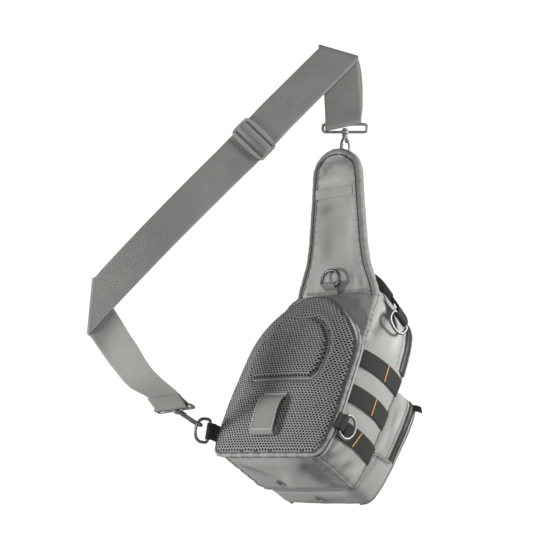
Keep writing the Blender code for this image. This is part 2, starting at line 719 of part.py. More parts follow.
def build_strap_single(strap, webbing):
    """From the slider round the flat corner fold to the lower hook, and back up to its sewn end."""
    run = between_edges(RUN_LEFT, RUN_RIGHT, RUN)
    back = between_edges(RETURN_LEFT, RETURN_RIGHT, RETURN)
    corner, across = run[-1]
    turn = [(corner + Vector((-2.15 * sin(a), 2.15 * (1 - cos(a)), 0)), across)
            for a in (pi / 4, pi / 2, 3 * pi / 4)]
    path = slider_pass(-1, WEBBING / 2)[::-1] + run + turn + back + stations_of(LOWER_END)

    bar_centre = LOWER_SWIVEL + LOWER_UP * LOOP_TALL
    bar = (LOWER_BAR - LOWER_BAR.project(LOWER_UP)).normalized()
    out = (LOWER_APPROACH - LOWER_APPROACH.project(bar)).normalized()
    side = bar.cross(out)
    side = side if side.y > 0 else -side
    half = -bar * STRAP_WIDTH / 2
    half = -half if half.dot(path[-1][1]) < 0 else half
    layer = (WEBBING + 0.3) / 2
    path += [(bar_centre + out * 24 + side * layer, half), (bar_centre + out * 10 + side * 1.9, half)]
    path += [(centre, half) for centre, _ in wrap_round(bar_centre, bar, out, side, FIFTHS)]
    path += [(bar_centre + out * 10 - side * 1.9, half), (bar_centre + out * 22 - side * layer, half)]
    place(ribbon("strap_single", path, WEBBING, webbing), strap)


def build_slider(strap, plastic):
    """A flat adjuster with bowed rails, two slots and a bar between them."""
    outline = [(28.3, -8.5), (28.3, 8.5), (27.5, 12.8), (23.5, 15.2), (8, 17.3), (-8, 17.3), (-23.5, 15.2),
               (-27.5, 12.8), (-28.3, 8.5), (-28.3, -8.5), (-27.5, -12.8), (-23.5, -15.2), (-8, -17.3),
               (8, -17.3), (23.5, -15.2), (27.5, -12.8)]
    half = SLIDER_PLATE / 2
    rings = [[(x * scale, y, z * scale) for x, z in outline]
             for y, scale in ((-half, 0.965), (0.7 - half, 1), (half - 0.7, 1), (half, 0.965))]
    slider = mesh_object("strap_slider", loft_mesh("strap_slider", rings), plastic)
    across = SLIDER_ACROSS.normalized()
    along = Vector((-across.z, 0, across.x))
    for sign in (1, -1):
        name = f"slider_slot_{sign}"
        low, high = sorted((sign * 2.0, sign * 12.0))
        slot = mesh_object(name, box_mesh(name, (-25.7, -8, low), (25.7, 8, high)))
        place(slot, strap, SLIDER, across, along)
        boolean(slider, "DIFFERENCE", slot)
    place(slider, strap, SLIDER, across, along)


def main():
    clear_scene()
    fabric = material("grey_fabric", (0.30, 0.30, 0.28), 0.85)
    mesh_fabric = material("air_mesh", (0.22, 0.22, 0.21), 0.9)
    webbing = material("grey_webbing", (0.20, 0.20, 0.19), 0.8)
    dark_webbing = material("dark_webbing", (0.05, 0.05, 0.05), 0.85)
    zip_tape = material("zip_tape", (0.03, 0.03, 0.03), 0.7)
    metal = material("satin_metal", (0.55, 0.55, 0.52), 0.35, 1.0)
    plastic = material("grey_plastic", (0.28, 0.28, 0.27), 0.5)

    lean = Matrix.Rotation(-radians(BAG_PITCH), 3, "X") @ Matrix.Rotation(radians(BAG_ROLL), 3, "Y")
    turn = Matrix.Rotation(radians(STRAP_TURN), 3, "Z")
    bag = frame("bag_frame", BAG_ORIGIN, lean.to_euler())
    upright = frame("yoke_frame", BAG_ORIGIN, (0, 0, 0))
    strap = frame("strap_frame", (0, 0, STRAP_LIFT), turn.to_euler())

    keepout = build_body(bag, fabric, zip_tape, metal)
    build_panel(bag, keepout, mesh_fabric, webbing)
    build_rows(bag, dark_webbing)
    build_pocket(bag, keepout, fabric, zip_tape, metal)
    build_yoke(upright, fabric, keepout)

    for side, hand in ((1, "right"), (-1, "left")):
        path = [(side * x, y, z) for x, y, z in ((93.5, 53, 235), (85, 50, 244), (79.5, 48.5, 248.5))]
        build_ring(f"upper_ring_{hand}", bag, (side * 96, 53, 225), (side * 0.14, 0.925, -0.355),
                   (side * 0.12, -0.34, -0.93), metal, f"upper_tab_{hand}", path, dark_webbing)
        stations = [((side * x, y, z), (side * a, b, c)) for x, y, z, a, b, c in SHOULDER_WEB]
        place(ribbon(f"shoulder_web_{hand}", stations, WEBBING, dark_webbing), bag)
    build_ring("lower_ring_right", bag, (107.2, 17.5, 45), (0, 0.12, 0.993), (0.08, 0.99, -0.12), metal,
               "lower_tab_right", [(107.2, 10.5, 44.5), (106.8, 4.5, 44)], dark_webbing)
    build_ring("yoke_ring", upright, (YOKE_X, 127, 214), (1, 0, 0), (0, 0.22, 0.975), metal,
               "yoke_ring_tab", [(YOKE_X, 130, 208.5), (YOKE_X, 132, 200.4)], webbing)

    side = Matrix.Rotation(radians(16), 3, "Z") @ X_AXIS
    hook_loop("top_hook_loop", strap, TOP_SWIVEL, TOP_BAR, TOP_UP, metal)
    hook_body("top_hook_body", strap, TOP_SWIVEL, side, Z_AXIS, metal)
    hook_gate("top_hook_gate", strap, TOP_SWIVEL, side, Z_AXIS, metal)
    catch = turn @ hook_catch(TOP_SWIVEL, side, Z_AXIS) + Z_AXIS * STRAP_LIFT - Vector(BAG_ORIGIN)
    bar = catch - Z_AXIS * RING_REACH
    build_ring("tip_ring", upright, bar, X_AXIS, Z_AXIS, metal, "tip_tab",
               [(bar.x, 151.6, bar.z - 12), (bar.x, 150.4, bar.z - 22), (bar.x, 150.4, bar.z - 34)], webbing)

    hook_loop("lower_hook_loop", strap, LOWER_SWIVEL, LOWER_BAR, LOWER_UP, metal)
    hook_body("lower_hook_body", strap, LOWER_SWIVEL, LOWER_SIDE, LOWER_UP, metal)
    hook_gate("lower_hook_gate", strap, LOWER_SWIVEL, LOWER_SIDE, LOWER_UP, metal)
    catch = hook_catch(LOWER_SWIVEL, LOWER_SIDE, LOWER_UP)
    x, z = ring_point(60)
    bar = catch - LOWER_RING_BAR.normalized() * x - LOWER_RING_BOW.normalized() * z
    to_strap = turn.transposed()
    path = [to_strap @ (lean @ Vector(point) + Vector(BAG_ORIGIN) - Z_AXIS * STRAP_LIFT)
            for point in ((-110.6, 3, 27), (-109.6, 12, 28.5), (-102, 21, 30))]
    build_ring("lower_ring_left", strap, bar, LOWER_RING_BAR, LOWER_RING_BOW, metal,
               "lower_tab_left", path, dark_webbing)
    build_strap_doubled(strap, webbing)
    build_strap_single(strap, webbing)
    build_slider(strap, plastic)


main()
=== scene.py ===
"""Looks of the sling pack: cloth, mesh, webbing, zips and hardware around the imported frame.

Sizes are in millimetres in a piece's own frame, and a mesh turns them into metres.
Bag frame: x to the right, y from the back panel to the pocket, z up the pack.
"""

from collections import namedtuple
from math import cos, pi, radians, sin

import bpy
import numpy as np
from mathutils import Matrix, Vector, noise
from mathutils.bvhtree import BVHTree


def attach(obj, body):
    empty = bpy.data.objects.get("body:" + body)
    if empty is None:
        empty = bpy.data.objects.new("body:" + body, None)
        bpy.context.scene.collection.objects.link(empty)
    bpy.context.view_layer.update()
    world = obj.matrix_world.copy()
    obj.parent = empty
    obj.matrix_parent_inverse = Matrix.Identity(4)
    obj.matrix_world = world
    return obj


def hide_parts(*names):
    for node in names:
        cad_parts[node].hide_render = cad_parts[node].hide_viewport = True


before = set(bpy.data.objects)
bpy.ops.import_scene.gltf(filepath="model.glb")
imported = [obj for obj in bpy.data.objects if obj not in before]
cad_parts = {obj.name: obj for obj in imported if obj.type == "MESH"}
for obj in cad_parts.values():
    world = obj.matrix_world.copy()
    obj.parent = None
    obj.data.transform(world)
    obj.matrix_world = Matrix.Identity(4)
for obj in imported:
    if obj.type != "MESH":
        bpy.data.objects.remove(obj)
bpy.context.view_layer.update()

MM = 0.001
X_AXIS, Y_AXIS, Z_AXIS = Vector((1, 0, 0)), Vector((0, 1, 0)), Vector((0, 0, 1))

# Driving dimensions, as in the part's source.
BAG_ORIGIN = Vector((11.5, -153, -530.5))
BAG_PITCH, BAG_ROLL, STRAP_TURN, STRAP_LIFT = 31.1, -1.2, 46.2, 1.5
GAP, WEBBING, STRAP_WIDTH = 0.35, 1.6, 50.0
ROW_WIDTH, ROW_PITCH, ROW_TOP, ROW_REAR, ROW_FRONT = 25.4, 50.8, 158.0, 25.0, 98.0
RING_WIRE, RING_INNER, RING_REACH, TAB_WIDTH = 1.8, 27.0, 20.5, 22.0

LEAN = Matrix.Rotation(-radians(BAG_PITCH), 4, "X") @ Matrix.Rotation(radians(BAG_ROLL), 4, "Y")
BAG = Matrix.Translation(BAG_ORIGIN) @ LEAN
UPRIGHT = Matrix.Translation(BAG_ORIGIN)
STRAP = Matrix.Translation((0, 0, STRAP_LIFT)) @ Matrix.Rotation(radians(STRAP_TURN), 4, "Z")

Section = namedtuple(
    "Section", "z half_rear half_front y_rear y_front side_bulge rear_bulge front_bulge corner"
)
BODY = [
    Section(-9, 62, 62, 30, 84, 0, 0, 0, 14),
    Section(-6, 79, 80, 16, 96, 0, 0, 1, 12),
    Section(4, 87, 86, 12, 99, 3, 2, 2, 9),
    Section(27, 88, 87, 12, 101, 8, 5, 3, 8),
    Section(52, 87, 88, 12, 102, 11, 7, 4, 8),
    Section(100, 85, 88, 12, 102, 13, 9, 4, 8),
    Section(150, 84, 89, 12, 102, 12, 10, 4, 8),
    Section(198, 83, 85, 12, 101, 8, 10, 4, 8),
    Section(224, 79, 79, 13, 99, 5, 8, 3, 8),
    Section(243, 71, 68, 17, 95, 3, 5, 2, 9),
    Section(256, 62.5, 57, 27, 86, 2, 1, 1, 10),
    Section(266, 52, 47, 34, 74, 0, 0, 0, 12),
    Section(273, 38, 32, 42, 60, 0, 0, 0, 6),
]
POCKET = [
    Section(-7, 60, 60, 108, 126, 0, 0, 0, 8),
    Section(-4, 72, 70, 99, 136, 0, 0, 1, 9),
    Section(6, 82, 78, 99, 142, 1, 0, 3, 9),
    Section(35, 87, 85, 99, 144, 2, 0, 5, 8),
    Section(75, 89, 89, 99, 145, 3, 0, 6, 7),
    Section(115, 90, 91, 99, 145, 2, 0, 5, 7),
    Section(138, 89, 90, 99, 144, 1, 0, 3, 7),
    Section(146, 84, 84, 99, 139, 0, 0, 1, 8),
    Section(149, 72, 70, 99, 128, 0, 0, 0, 8),
]
PanelRow = namedtuple("PanelRow", "z mid half crown")
PANEL = [
    PanelRow(-6, 3, 84, -5),
    PanelRow(-4.5, 3, 90, -1),
    PanelRow(3, 2.5, 96.5, 2),
    PanelRow(20, 2, 100.5, 5),
    PanelRow(45, 1, 102.5, 9),
    PanelRow(75, -1.5, 102.5, 12),
    PanelRow(110, -3.5, 101, 14),
    PanelRow(145, -4.5, 98, 15.5),
    PanelRow(160, -4.5, 94, 16),
    PanelRow(178, -4, 82, 16),
    PanelRow(196, -3, 64, 15.5),
    PanelRow(211, -2, 44, 15),
    PanelRow(221, -1.5, 25, 15),
    PanelRow(226, -1, 8, 12),
]
YokeRow = namedtuple("YokeRow", "z half thickness")
YOKE = [
    YokeRow(196, 72, 7),
    YokeRow(210, 68.5, 9),
    YokeRow(226, 62, 9),
    YokeRow(244, 55, 9),
    YokeRow(270, 50, 9),
    YokeRow(300, 47, 9),
    YokeRow(335, 43.5, 9),
    YokeRow(366, 41, 9),
    YokeRow(380, 35, 9),
    YokeRow(388, 25, 8.5),
    YokeRow(393, 15, 8),
    YokeRow(395, 7, 7),
]
YOKE_X, YOKE_Y, YOKE_FACE = -3.7, 143.5, 139.0
LUMBAR_X = -4.0


# Materials.

Finish = namedtuple("Finish", "material slot")


def rgb(tone):
    """Red, green and blue from a grey level, from a grey level and its blue, or from all three."""
    tone = tone if isinstance(tone, tuple) else (tone, tone)
    return tone if len(tone) == 3 else (tone[0], *tone)


class Shade:
    """A Principled material whose colour and bump come from a few chained nodes."""

    def __init__(self, name, roughness, metallic=0.0, sheen=0.0):
        self.material = bpy.data.materials.new(name)
        self.material.use_nodes = True
        self.tree = self.material.node_tree
        self.shader = self.tree.nodes["Principled BSDF"]
        self.shader.inputs["Roughness"].default_value = roughness
        self.shader.inputs["Metallic"].default_value = metallic
        self.shader.inputs["Sheen Weight"].default_value = sheen
        self.shader.inputs["Sheen Roughness"].default_value = 0.6
        self.shader.inputs["Specular IOR Level"].default_value = 0.5 if roughness < 0.6 else 0.2

    def link(self, value, socket):
        if isinstance(value, bpy.types.NodeSocket):
            self.tree.links.new(value, socket)
        else:
            socket.default_value = value

    def math(self, operation, a, b=0.0, c=0.0):
        node = self.tree.nodes.new("ShaderNodeMath")
        node.operation = operation
        for value, socket in zip((a, b, c), node.inputs):
            self.link(value, socket)
        return node.outputs[0]

    def cloth_uv(self):
        """The cloth's own coordinates in millimetres: across it and along it."""
        uv = self.tree.nodes.new("ShaderNodeUVMap")
        uv.uv_map = "cloth"
        split = self.tree.nodes.new("ShaderNodeSeparateXYZ")
        self.tree.links.new(uv.outputs[0], split.inputs[0])
        return split.outputs[0], split.outputs[1]

    def noise(self, scale, detail=3.0):
        coordinates = self.tree.nodes.new("ShaderNodeTexCoord")
        node = self.tree.nodes.new("ShaderNodeTexNoise")
        node.inputs["Scale"].default_value = scale
        node.inputs["Detail"].default_value = detail
        self.tree.links.new(coordinates.outputs["Object"], node.inputs["Vector"])
        return node.outputs[0]

    def ridge(self, coordinate, pitch, shift=0.0):
        """Rounded ridges, 0 to 1, one every pitch."""
        turned = self.math("MULTIPLY_ADD", coordinate, pi / pitch, shift)
        return self.math("ABSOLUTE", self.math("SINE", turned))

    def weave(self, across, along, pitch_across, pitch_along):
        """Threads over and under each other, 0 to 1."""
        a = self.math("SINE", self.math("MULTIPLY", across, 2 * pi / pitch_across))
        b = self.math("SINE", self.math("MULTIPLY", along, 2 * pi / pitch_along))
        return self.math("MULTIPLY_ADD", self.math("MULTIPLY", a, b), 0.5, 0.5)

    def relief_shading(self):
        """How far the cloth stands out of its folds, from -1 to 1, as the mesh says; the materials paint it
        as shade in the valleys and highlight on the ridges.
        """
        node = self.tree.nodes.new("ShaderNodeAttribute")
        node.attribute_name = "relief_shading"
        return node.outputs["Fac"]

    def total(self, *terms, base=0.0):
        """The sum of (value, weight) pairs and a base."""
        found = base
        for value, weight in terms:
            found = self.math("MULTIPLY_ADD", value, weight, found)
        return found

    def colour(self, dark, light, amount):
        ramp = self.tree.nodes.new("ShaderNodeMix")
        ramp.data_type = "RGBA"
        ramp.clamp_factor = True
        self.link(amount, ramp.inputs["Factor"])
        ramp.inputs[6].default_value = (*rgb(dark), 1)
        ramp.inputs[7].default_value = (*rgb(light), 1)
        self.tree.links.new(ramp.outputs[2], self.shader.inputs["Base Color"])

    def bump(self, height, distance, strength=1.0):
        node = self.tree.nodes.new("ShaderNodeBump")
        node.inputs["Distance"].default_value = distance * MM
        node.inputs["Strength"].default_value = strength
        self.link(height, node.inputs["Height"])
        self.tree.links.new(node.outputs[0], self.shader.inputs["Normal"])

    def vary_roughness(self, value, low, high):
        node = self.tree.nodes.new("ShaderNodeMapRange")
        self.link(value, node.inputs["Value"])
        node.inputs["To Min"].default_value = low
        node.inputs["To Max"].default_value = high
        self.tree.links.new(node.outputs[0], self.shader.inputs["Roughness"])


def cloth_finish(name, slot, dark, light, pitch):
    """Plain-woven nylon: fine threads, faint blotches, painted shade in its folds and painted highlight on
    its ridges.
    """
    shade = Shade(name, 0.8, sheen=0.1)
    across, along = shade.cloth_uv()
    threads = shade.weave(across, along, pitch, pitch)
    blotch = shade.noise(28, 4)
    speck = shade.noise(900, 2)
    amount = shade.total((threads, 0.16), (blotch, 0.22), (speck, 0.24), (shade.relief_shading(), 0.65), base=0.35)
    shade.colour(dark, light, amount)
    shade.bump(shade.total((threads, 0.6), (speck, 0.4)), 0.3)
    shade.vary_roughness(blotch, 0.72, 0.9)
    return Finish(shade.material, slot)


def webbing_finish(name, slot, dark, light, rib, warp, depth=0.3, contrast=0.6):
    """Ribbed webbing: ribs across it, cut into short steps by its warp."""
    shade = Shade(name, 0.75, sheen=0.05)
    across, along = shade.cloth_uv()
    ribs = shade.ridge(along, rib)
    columns = shade.ridge(across, warp, 0.6)
    blotch = shade.noise(35, 3)
    speck = shade.noise(1300, 2)
    height = shade.total((ribs, 0.62), (columns, 0.28), (speck, 0.1))
    # Each point's fold value adds painted shade in puckers and painted highlight on ridges and selvedges.
    amount = shade.total((height, contrast), (blotch, 0.4), (shade.relief_shading(), 0.6))
    shade.colour(dark, light, amount)
    shade.bump(height, depth)
    shade.vary_roughness(blotch, 0.66, 0.86)
    return Finish(shade.material, slot)


def thread_finish(name, slot, dark, light, twist=0.7):
    shade = Shade(name, 0.6, sheen=0.2)
    across, along = shade.cloth_uv()
    strands = shade.ridge(shade.math("MULTIPLY_ADD", across, 0.6, along), twist)
    shade.colour(dark, light, shade.total((strands, 0.7), (shade.noise(500, 2), 0.3)))
    shade.bump(strands, 0.12)
    return Finish(shade.material, slot)


def metal_finish():
    shade = Shade("satin_metal_look", 0.42, metallic=1.0)
    brushed = shade.noise(260, 4)
    scuff = shade.noise(45, 4)
    shade.colour((0.17, 0.162), (0.34, 0.325), shade.total((brushed, 0.5), (scuff, 0.6)))
    shade.bump(brushed, 0.05, 0.6)
    shade.vary_roughness(scuff, 0.40, 0.60)
    return Finish(shade.material, "satin_metal")


def plastic_finish():
    shade = Shade("moulded_plastic", 0.45)
    grain = shade.noise(700, 3)
    shade.colour((0.27, 0.255), (0.36, 0.34), shade.total((grain, 0.5), (shade.noise(40, 3), 0.5)))
    shade.bump(grain, 0.05, 0.8)
    shade.vary_roughness(grain, 0.4, 0.55)
    return Finish(shade.material, "grey_plastic")


def dull_finish(name, slot, dark, light, scale, depth, roughness=0.85):
    shade = Shade(name, roughness, sheen=0.15)
    grain = shade.noise(scale, 3)
    # Each point's fold value adds painted shade and painted highlight, where a piece gives one.
    shade.colour(dark, light, shade.total((grain, 0.8), (shade.relief_shading(), 0.4)))
    shade.bump(grain, depth)
    return Finish(shade.material, slot)


FABRIC = cloth_finish("nylon_cloth", "grey_fabric", (0.13, 0.123), (0.47, 0.446), pitch=1.1)
# The body's grey fabric, painted paler for the light on the yoke, with deeper painted shade in its folds.
YOKE_PAINTED_LIGHT_CLOTH = cloth_finish("yoke_cloth_painted_light", "grey_fabric", (0.06, 0.057), (0.62, 0.589), pitch=1.1)
BAND_CLOTH = cloth_finish("band_cloth", "grey_fabric", (0.16, 0.152), (0.56, 0.532), pitch=1.4)
FINE_RIBS = {"rib": 1.0, "warp": 1.2, "depth": 0.15}
BINDING = webbing_finish("binding_tape", "grey_fabric", (0.16, 0.15), (0.34, 0.32), **FINE_RIBS)
# Dark binding tape, also used for tubes of painted shade in gaps and seam grooves.
DARK_BINDING_AND_GAP_SHADE = webbing_finish("dark_binding_and_gap_shade", "air_mesh", 0.035, (0.13, 0.125), **FINE_RIBS)
STRAP_WEB = webbing_finish(
    "strap_webbing", "grey_webbing", (0.135, 0.128), (0.34, 0.323),
    rib=1.9, warp=2.2, depth=0.2, contrast=0.62,
)
LOOP_WEB = webbing_finish(
    "loop_webbing", "grey_webbing", (0.17, 0.16), (0.33, 0.31), rib=1.1, warp=1.3, depth=0.16
)
DARK_WEB = webbing_finish("dark_webbing_look", "dark_webbing", 0.010, (0.045, 0.044), rib=1.3, warp=1.5)
ZIP_TAPE = webbing_finish("zip_tape_look", "zip_tape", 0.012, 0.05, rib=0.9, warp=1.1, depth=0.15)
COIL = dull_finish("zip_coil", "zip_tape", 0.012, 0.05, scale=600, depth=0.05, roughness=0.45)
NET = dull_finish("net_strands", "air_mesh", (0.16, 0.152), (0.52, 0.494), scale=900, depth=0.12)
# Near-black: painted shade on the holes' inner walls and floors.
NET_HOLE_SHADE = dull_finish("net_hole_shade", "air_mesh", 0.012, (0.035, 0.034), scale=500, depth=0.1)
FOAM = dull_finish("foam_backing", "air_mesh", (0.08, 0.076), (0.26, 0.247), scale=700, depth=0.2)
THREAD = thread_finish("grey_thread", "grey_fabric", (0.20, 0.19), (0.42, 0.40))
DARK_THREAD = thread_finish("dark_thread", "grey_fabric", 0.02, 0.07)
ORANGE_THREAD = thread_finish("orange_thread", "dark_webbing", (0.72, 0.27, 0.03), (0.95, 0.46, 0.10), 0.9)
METAL = metal_finish()
PLASTIC = plastic_finish()
# A near-black disc in each eyelet: painted shade where the hole opens into the bag.
EYELET_SHADE = dull_finish("painted_eyelet_shade", "satin_metal", 0.004, 0.008, scale=300, depth=0.02)


# Mesh helpers.

def placed(points, matrix):
    """Points in mm in a frame, as metres in the row's frame."""
    turned = np.asarray(points, float).reshape(-1, 3) @ np.array(matrix.to_3x3()).T
    return (turned + np.array(matrix.translation)) * MM


def unit(vectors):
    return vectors / np.maximum(np.linalg.norm(vectors, axis=-1, keepdims=True), 1e-9)


class Build:
    """Collects tubes of quads into one mesh, with the cloth's coordinates at each corner and, at each
    point, a value that the materials paint as shade and highlight.
    """

    def __init__(self):
        self.points, self.faces, self.uvs, self.slots, self.relief_shading = [], [], [], [], []
        self.count = 0

    def tube(self, rings, uv=None, cap=False, slot=0, relief_shading=None):
        """Rings of points joined one to the next. A cap closes both ends."""
        rows, columns = rings.shape[:2]
        base = self.count
        self.points.append(rings.reshape(-1, 3))
        self.relief_shading.append(np.zeros(rows * columns) if relief_shading is None else relief_shading.reshape(-1))
        self.count += rows * columns
        row = np.arange(rows - 1)[:, None] * columns
        column = np.arange(columns)[None, :]
        after = (column + 1) % columns
        quads = np.stack([row + column, row + after, row + columns + after, row + columns + column], -1)
        self.faces += (quads.reshape(-1, 4) + base).tolist()
        self.slots += [slot] * (rows - 1) * columns
        if uv is None:
            uv = np.zeros((rows, columns + 1, 2))
        loops = np.stack([uv[:-1, :-1], uv[:-1, 1:], uv[1:, 1:], uv[1:, :-1]], 2)
        self.uvs.append(loops.reshape(-1, 2))
        if cap:
            for ring, order in ((0, -1), (rows - 1, 1)):
                self.faces.append((base + ring * columns + np.arange(columns))[::order].tolist())
                self.uvs.append(uv[ring, :columns][::order])
                self.slots.append(slot)
        return self

    def raw(self, points, faces, slots):
        """Faces of any kind, whose cloth coordinates are set afterwards."""
        base = self.count
        self.points.append(np.asarray(points, float))
        self.relief_shading.append(np.zeros(len(points)))
        self.count += len(points)
        self.faces += [[i + base for i in face] for face in faces]
        self.slots += list(slots)
        self.uvs.append(np.zeros((sum(len(face) for face in faces), 2)))
        return self

    def piece(self, name, matrix, finishes, body="pack", replaces=(), box_cloth=False, smooth=40):
        finishes = finishes if isinstance(finishes, list) else [finishes]
        mesh = bpy.data.meshes.new(name)
        mesh.from_pydata(placed(np.concatenate(self.points), matrix), [], self.faces)
        layer = mesh.uv_layers.new(name="cloth")
        layer.data.foreach_set("uv", np.concatenate(self.uvs).astype(np.float32).ravel())
        # Per-point fold values, which the materials paint as shade in hollows and highlight on ridges.
        relief_shading = mesh.attributes.new("relief_shading", "FLOAT", "POINT")
        relief_shading.data.foreach_set("value", np.concatenate(self.relief_shading).astype(np.float32))
        for finish in finishes:
            mesh.materials.append(finish.material)
        mesh.polygons.foreach_set("material_index", np.array(self.slots, np.int32))
        if box_cloth:
            cloth_from_box(mesh, matrix)
        mesh.shade_smooth()
        mesh.set_sharp_from_angle(angle=radians(smooth))
        return show(bpy.data.objects.new(name, mesh), replaces, body)


def show(obj, replaces, body="pack"):
    bpy.context.scene.collection.objects.link(obj)
    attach(obj, body)
    if replaces:
        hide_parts(*replaces)
    return obj


def cloth_from_box(mesh, matrix):
    """Lays the cloth's grain along the frame's own axes, from the side that each face looks to."""
    points = np.empty(len(mesh.vertices) * 3, np.float32)
    mesh.vertices.foreach_get("co", points)
    turn = np.array(matrix.to_3x3())
    points = (points.reshape(-1, 3) / MM - np.array(matrix.translation)) @ turn
    normals = np.empty(len(mesh.polygons) * 3, np.float32)
    mesh.polygons.foreach_get("normal", normals)
    axis = np.abs(normals.reshape(-1, 3) @ turn).argmax(1)
    totals = np.empty(len(mesh.polygons), np.int32)
    mesh.polygons.foreach_get("loop_total", totals)
    index = np.empty(len(mesh.loops), np.int32)
    mesh.loops.foreach_get("vertex_index", index)
    axis = np.repeat(axis, totals)
    corner = points[index]
    first = np.where(axis == 0, corner[:, 1], corner[:, 0])
    second = np.where(axis == 2, corner[:, 1], corner[:, 2])
    mesh.uv_layers["cloth"].data.foreach_set("uv", np.stack([first, second], 1).astype(np.float32).ravel())


def lengths(path, closed=False):
    path = np.asarray(path, float)
    ends = np.vstack([path, path[:1]]) if closed else path
    return np.concatenate([[0], np.cumsum(np.linalg.norm(np.diff(ends, axis=0), axis=1))])


def resampled(path, step, closed=False):
    """Even points along a path, no further apart than the step."""
    path = np.asarray(path, float)
    s = lengths(path, closed)
    if closed:
        path = np.vstack([path, path[:1]])
    count = max(2, int(round(s[-1] / step)) + (0 if closed else 1))
    at = np.linspace(0, s[-1], count, endpoint=not closed)
    return np.stack([np.interp(at, s, path[:, k]) for k in range(path.shape[1])], 1)


def curved(points, step, closed=False):
    """A smooth curve through the points, resampled evenly."""
    points = np.asarray(points, float)
    n = len(points)
    spans = n if closed else n - 1
    found = []
    for i in range(spans):
        if closed:
            p0, p1, p2, p3 = (points[(i + k) % n] for k in (-1, 0, 1, 2))
        else:
            p0, p1, p2, p3 = (points[min(max(i + k, 0), n - 1)] for k in (-1, 0, 1, 2))
        for t in np.arange(8) / 8:
            found.append(0.5 * (2 * p1 + (p2 - p0) * t + (2 * p0 - 5 * p1 + 4 * p2 - p3) * t**2
                                + (3 * p1 - p0 - 3 * p2 + p3) * t**3))
    if not closed:
        found.append(points[-1])
    return resampled(np.array(found), step, closed)


def tangents(path, closed=False):
    if closed:
        return unit(np.roll(path, -1, 0) - np.roll(path, 1, 0))
    return unit(np.gradient(path, axis=0))


def swept(build, path, normals, profile, closed=False, scale=None, relief_shading=None):
    """A closed profile of (side, out) points in mm, carried along the path. Out follows the normals."""
    path = np.asarray(path, float)
    normals = np.broadcast_to(np.asarray(normals, float), path.shape)
    along = tangents(path, closed)
    side = unit(np.cross(along, normals))
    out = unit(np.cross(side, along))
    profile = np.asarray(profile, float)
    scale = np.ones(len(path)) if scale is None else scale
    points = (path[:, None] + side[:, None] * profile[None, :, :1] * scale[:, None, None]
              + out[:, None] * profile[None, :, 1:] * scale[:, None, None])
    s = lengths(path, closed)
    round_trip = lengths(profile, True)
    if closed:
        points = np.concatenate([points, points[:1]])
    uv = np.stack(np.broadcast_arrays(round_trip[None, :], s[:len(points), None]), -1)
    # Fold values along the path become painted shade and highlight over the whole profile.
    marks = None
    if relief_shading is not None:
        relief_shading = np.append(relief_shading, relief_shading[0]) if closed else relief_shading
        marks = np.repeat(relief_shading[:, None], len(profile), 1)
    build.tube(points, uv, cap=not closed, relief_shading=marks)
    return build


def round_profile(radius_side, radius_out=None, count=10):
    radius_out = radius_side if radius_out is None else radius_out
    angles = 2 * pi * np.arange(count) / count
    return np.stack([radius_side * np.cos(angles), radius_out * np.sin(angles)], 1)


def strip_profile(width, thickness, across=9):
    """A flat strip's section with rounded edges."""
    half, t = width / 2, thickness / 2
    s = np.linspace(-1, 1, across) * (half - t)
    top = np.stack([s, np.full(across, t)], 1)
    right = [(half - t + t * cos(a), t * sin(a)) for a in (pi / 4, 0, -pi / 4)]
    left = [(t - half - t * cos(a), -t * sin(a)) for a in (pi / 4, 0, -pi / 4)]
    return np.vstack([top, right, top[::-1] * (1, -1), left])


def uneven(at, *waves):
    """A seam's width along it, near 1, from waves of (size, rate) or (size, rate, shift)."""
    return 1 + sum(size * np.sin(at * rate + sum(shift)) for size, rate, *shift in waves)


def stitched(build, path, normals, stitch=3.0, gap=1.1, radius=0.38):
    """A row of sewn stitches, each a short thread that dips into the cloth at both ends."""
    path = np.asarray(path, float)
    normals = unit(np.broadcast_to(np.asarray(normals, float), path.shape))
    s = lengths(path)
    count = int((s[-1] - stitch) // (stitch + gap)) + 1
    for k in range(max(count, 0)):
        at = k * (stitch + gap) + stitch * np.array([0, 0.12, 0.5, 0.88, 1])
        centre = np.stack([np.interp(at, s, path[:, j]) for j in range(3)], 1)
        normal = unit(np.stack([np.interp(at, s, normals[:, j]) for j in range(3)], 1))
        dip = np.array([-0.6, 0.35, 0.75, 0.35, -0.6])[:, None] * radius
        swept(build, centre + normal * dip, normal, round_profile(radius, count=6))
    return build


# The pack's forms, as in the part's source.

def eased(t, start, start_slope, end, end_slope):
    """A cubic from start to end with the given slopes."""
    return ((2 * t**3 - 3 * t**2 + 1) * start + (t**3 - 2 * t**2 + t) * start_slope
            + (3 * t**2 - 2 * t**3) * end + (t**3 - t**2) * end_slope)


def mixed(rows, z):
    """The table's row at height z, eased between the rows above and below it."""
    z = min(max(z, rows[0].z), rows[-1].z)
    for i in range(len(rows) - 1):
        if z <= rows[i + 1].z:
            break
    before, low, high = rows[max(i - 1, 0)], rows[i], rows[i + 1]
    after = rows[min(i + 2, len(rows) - 1)]
    span = high.z - low.z
    t = (z - low.z) / span
    values = []
    for a, b, c, d in zip(before, low, high, after):
        slope_low = (c - a) / (high.z - before.z) * span
        slope_high = (d - b) / (after.z - low.z) * span
        values.append(eased(t, b, slope_low, c, slope_high))
    return type(low)(*values)._replace(z=z)


FACE_POINTS, SIDE_POINTS, CORNER_POINTS = 30, 24, 6


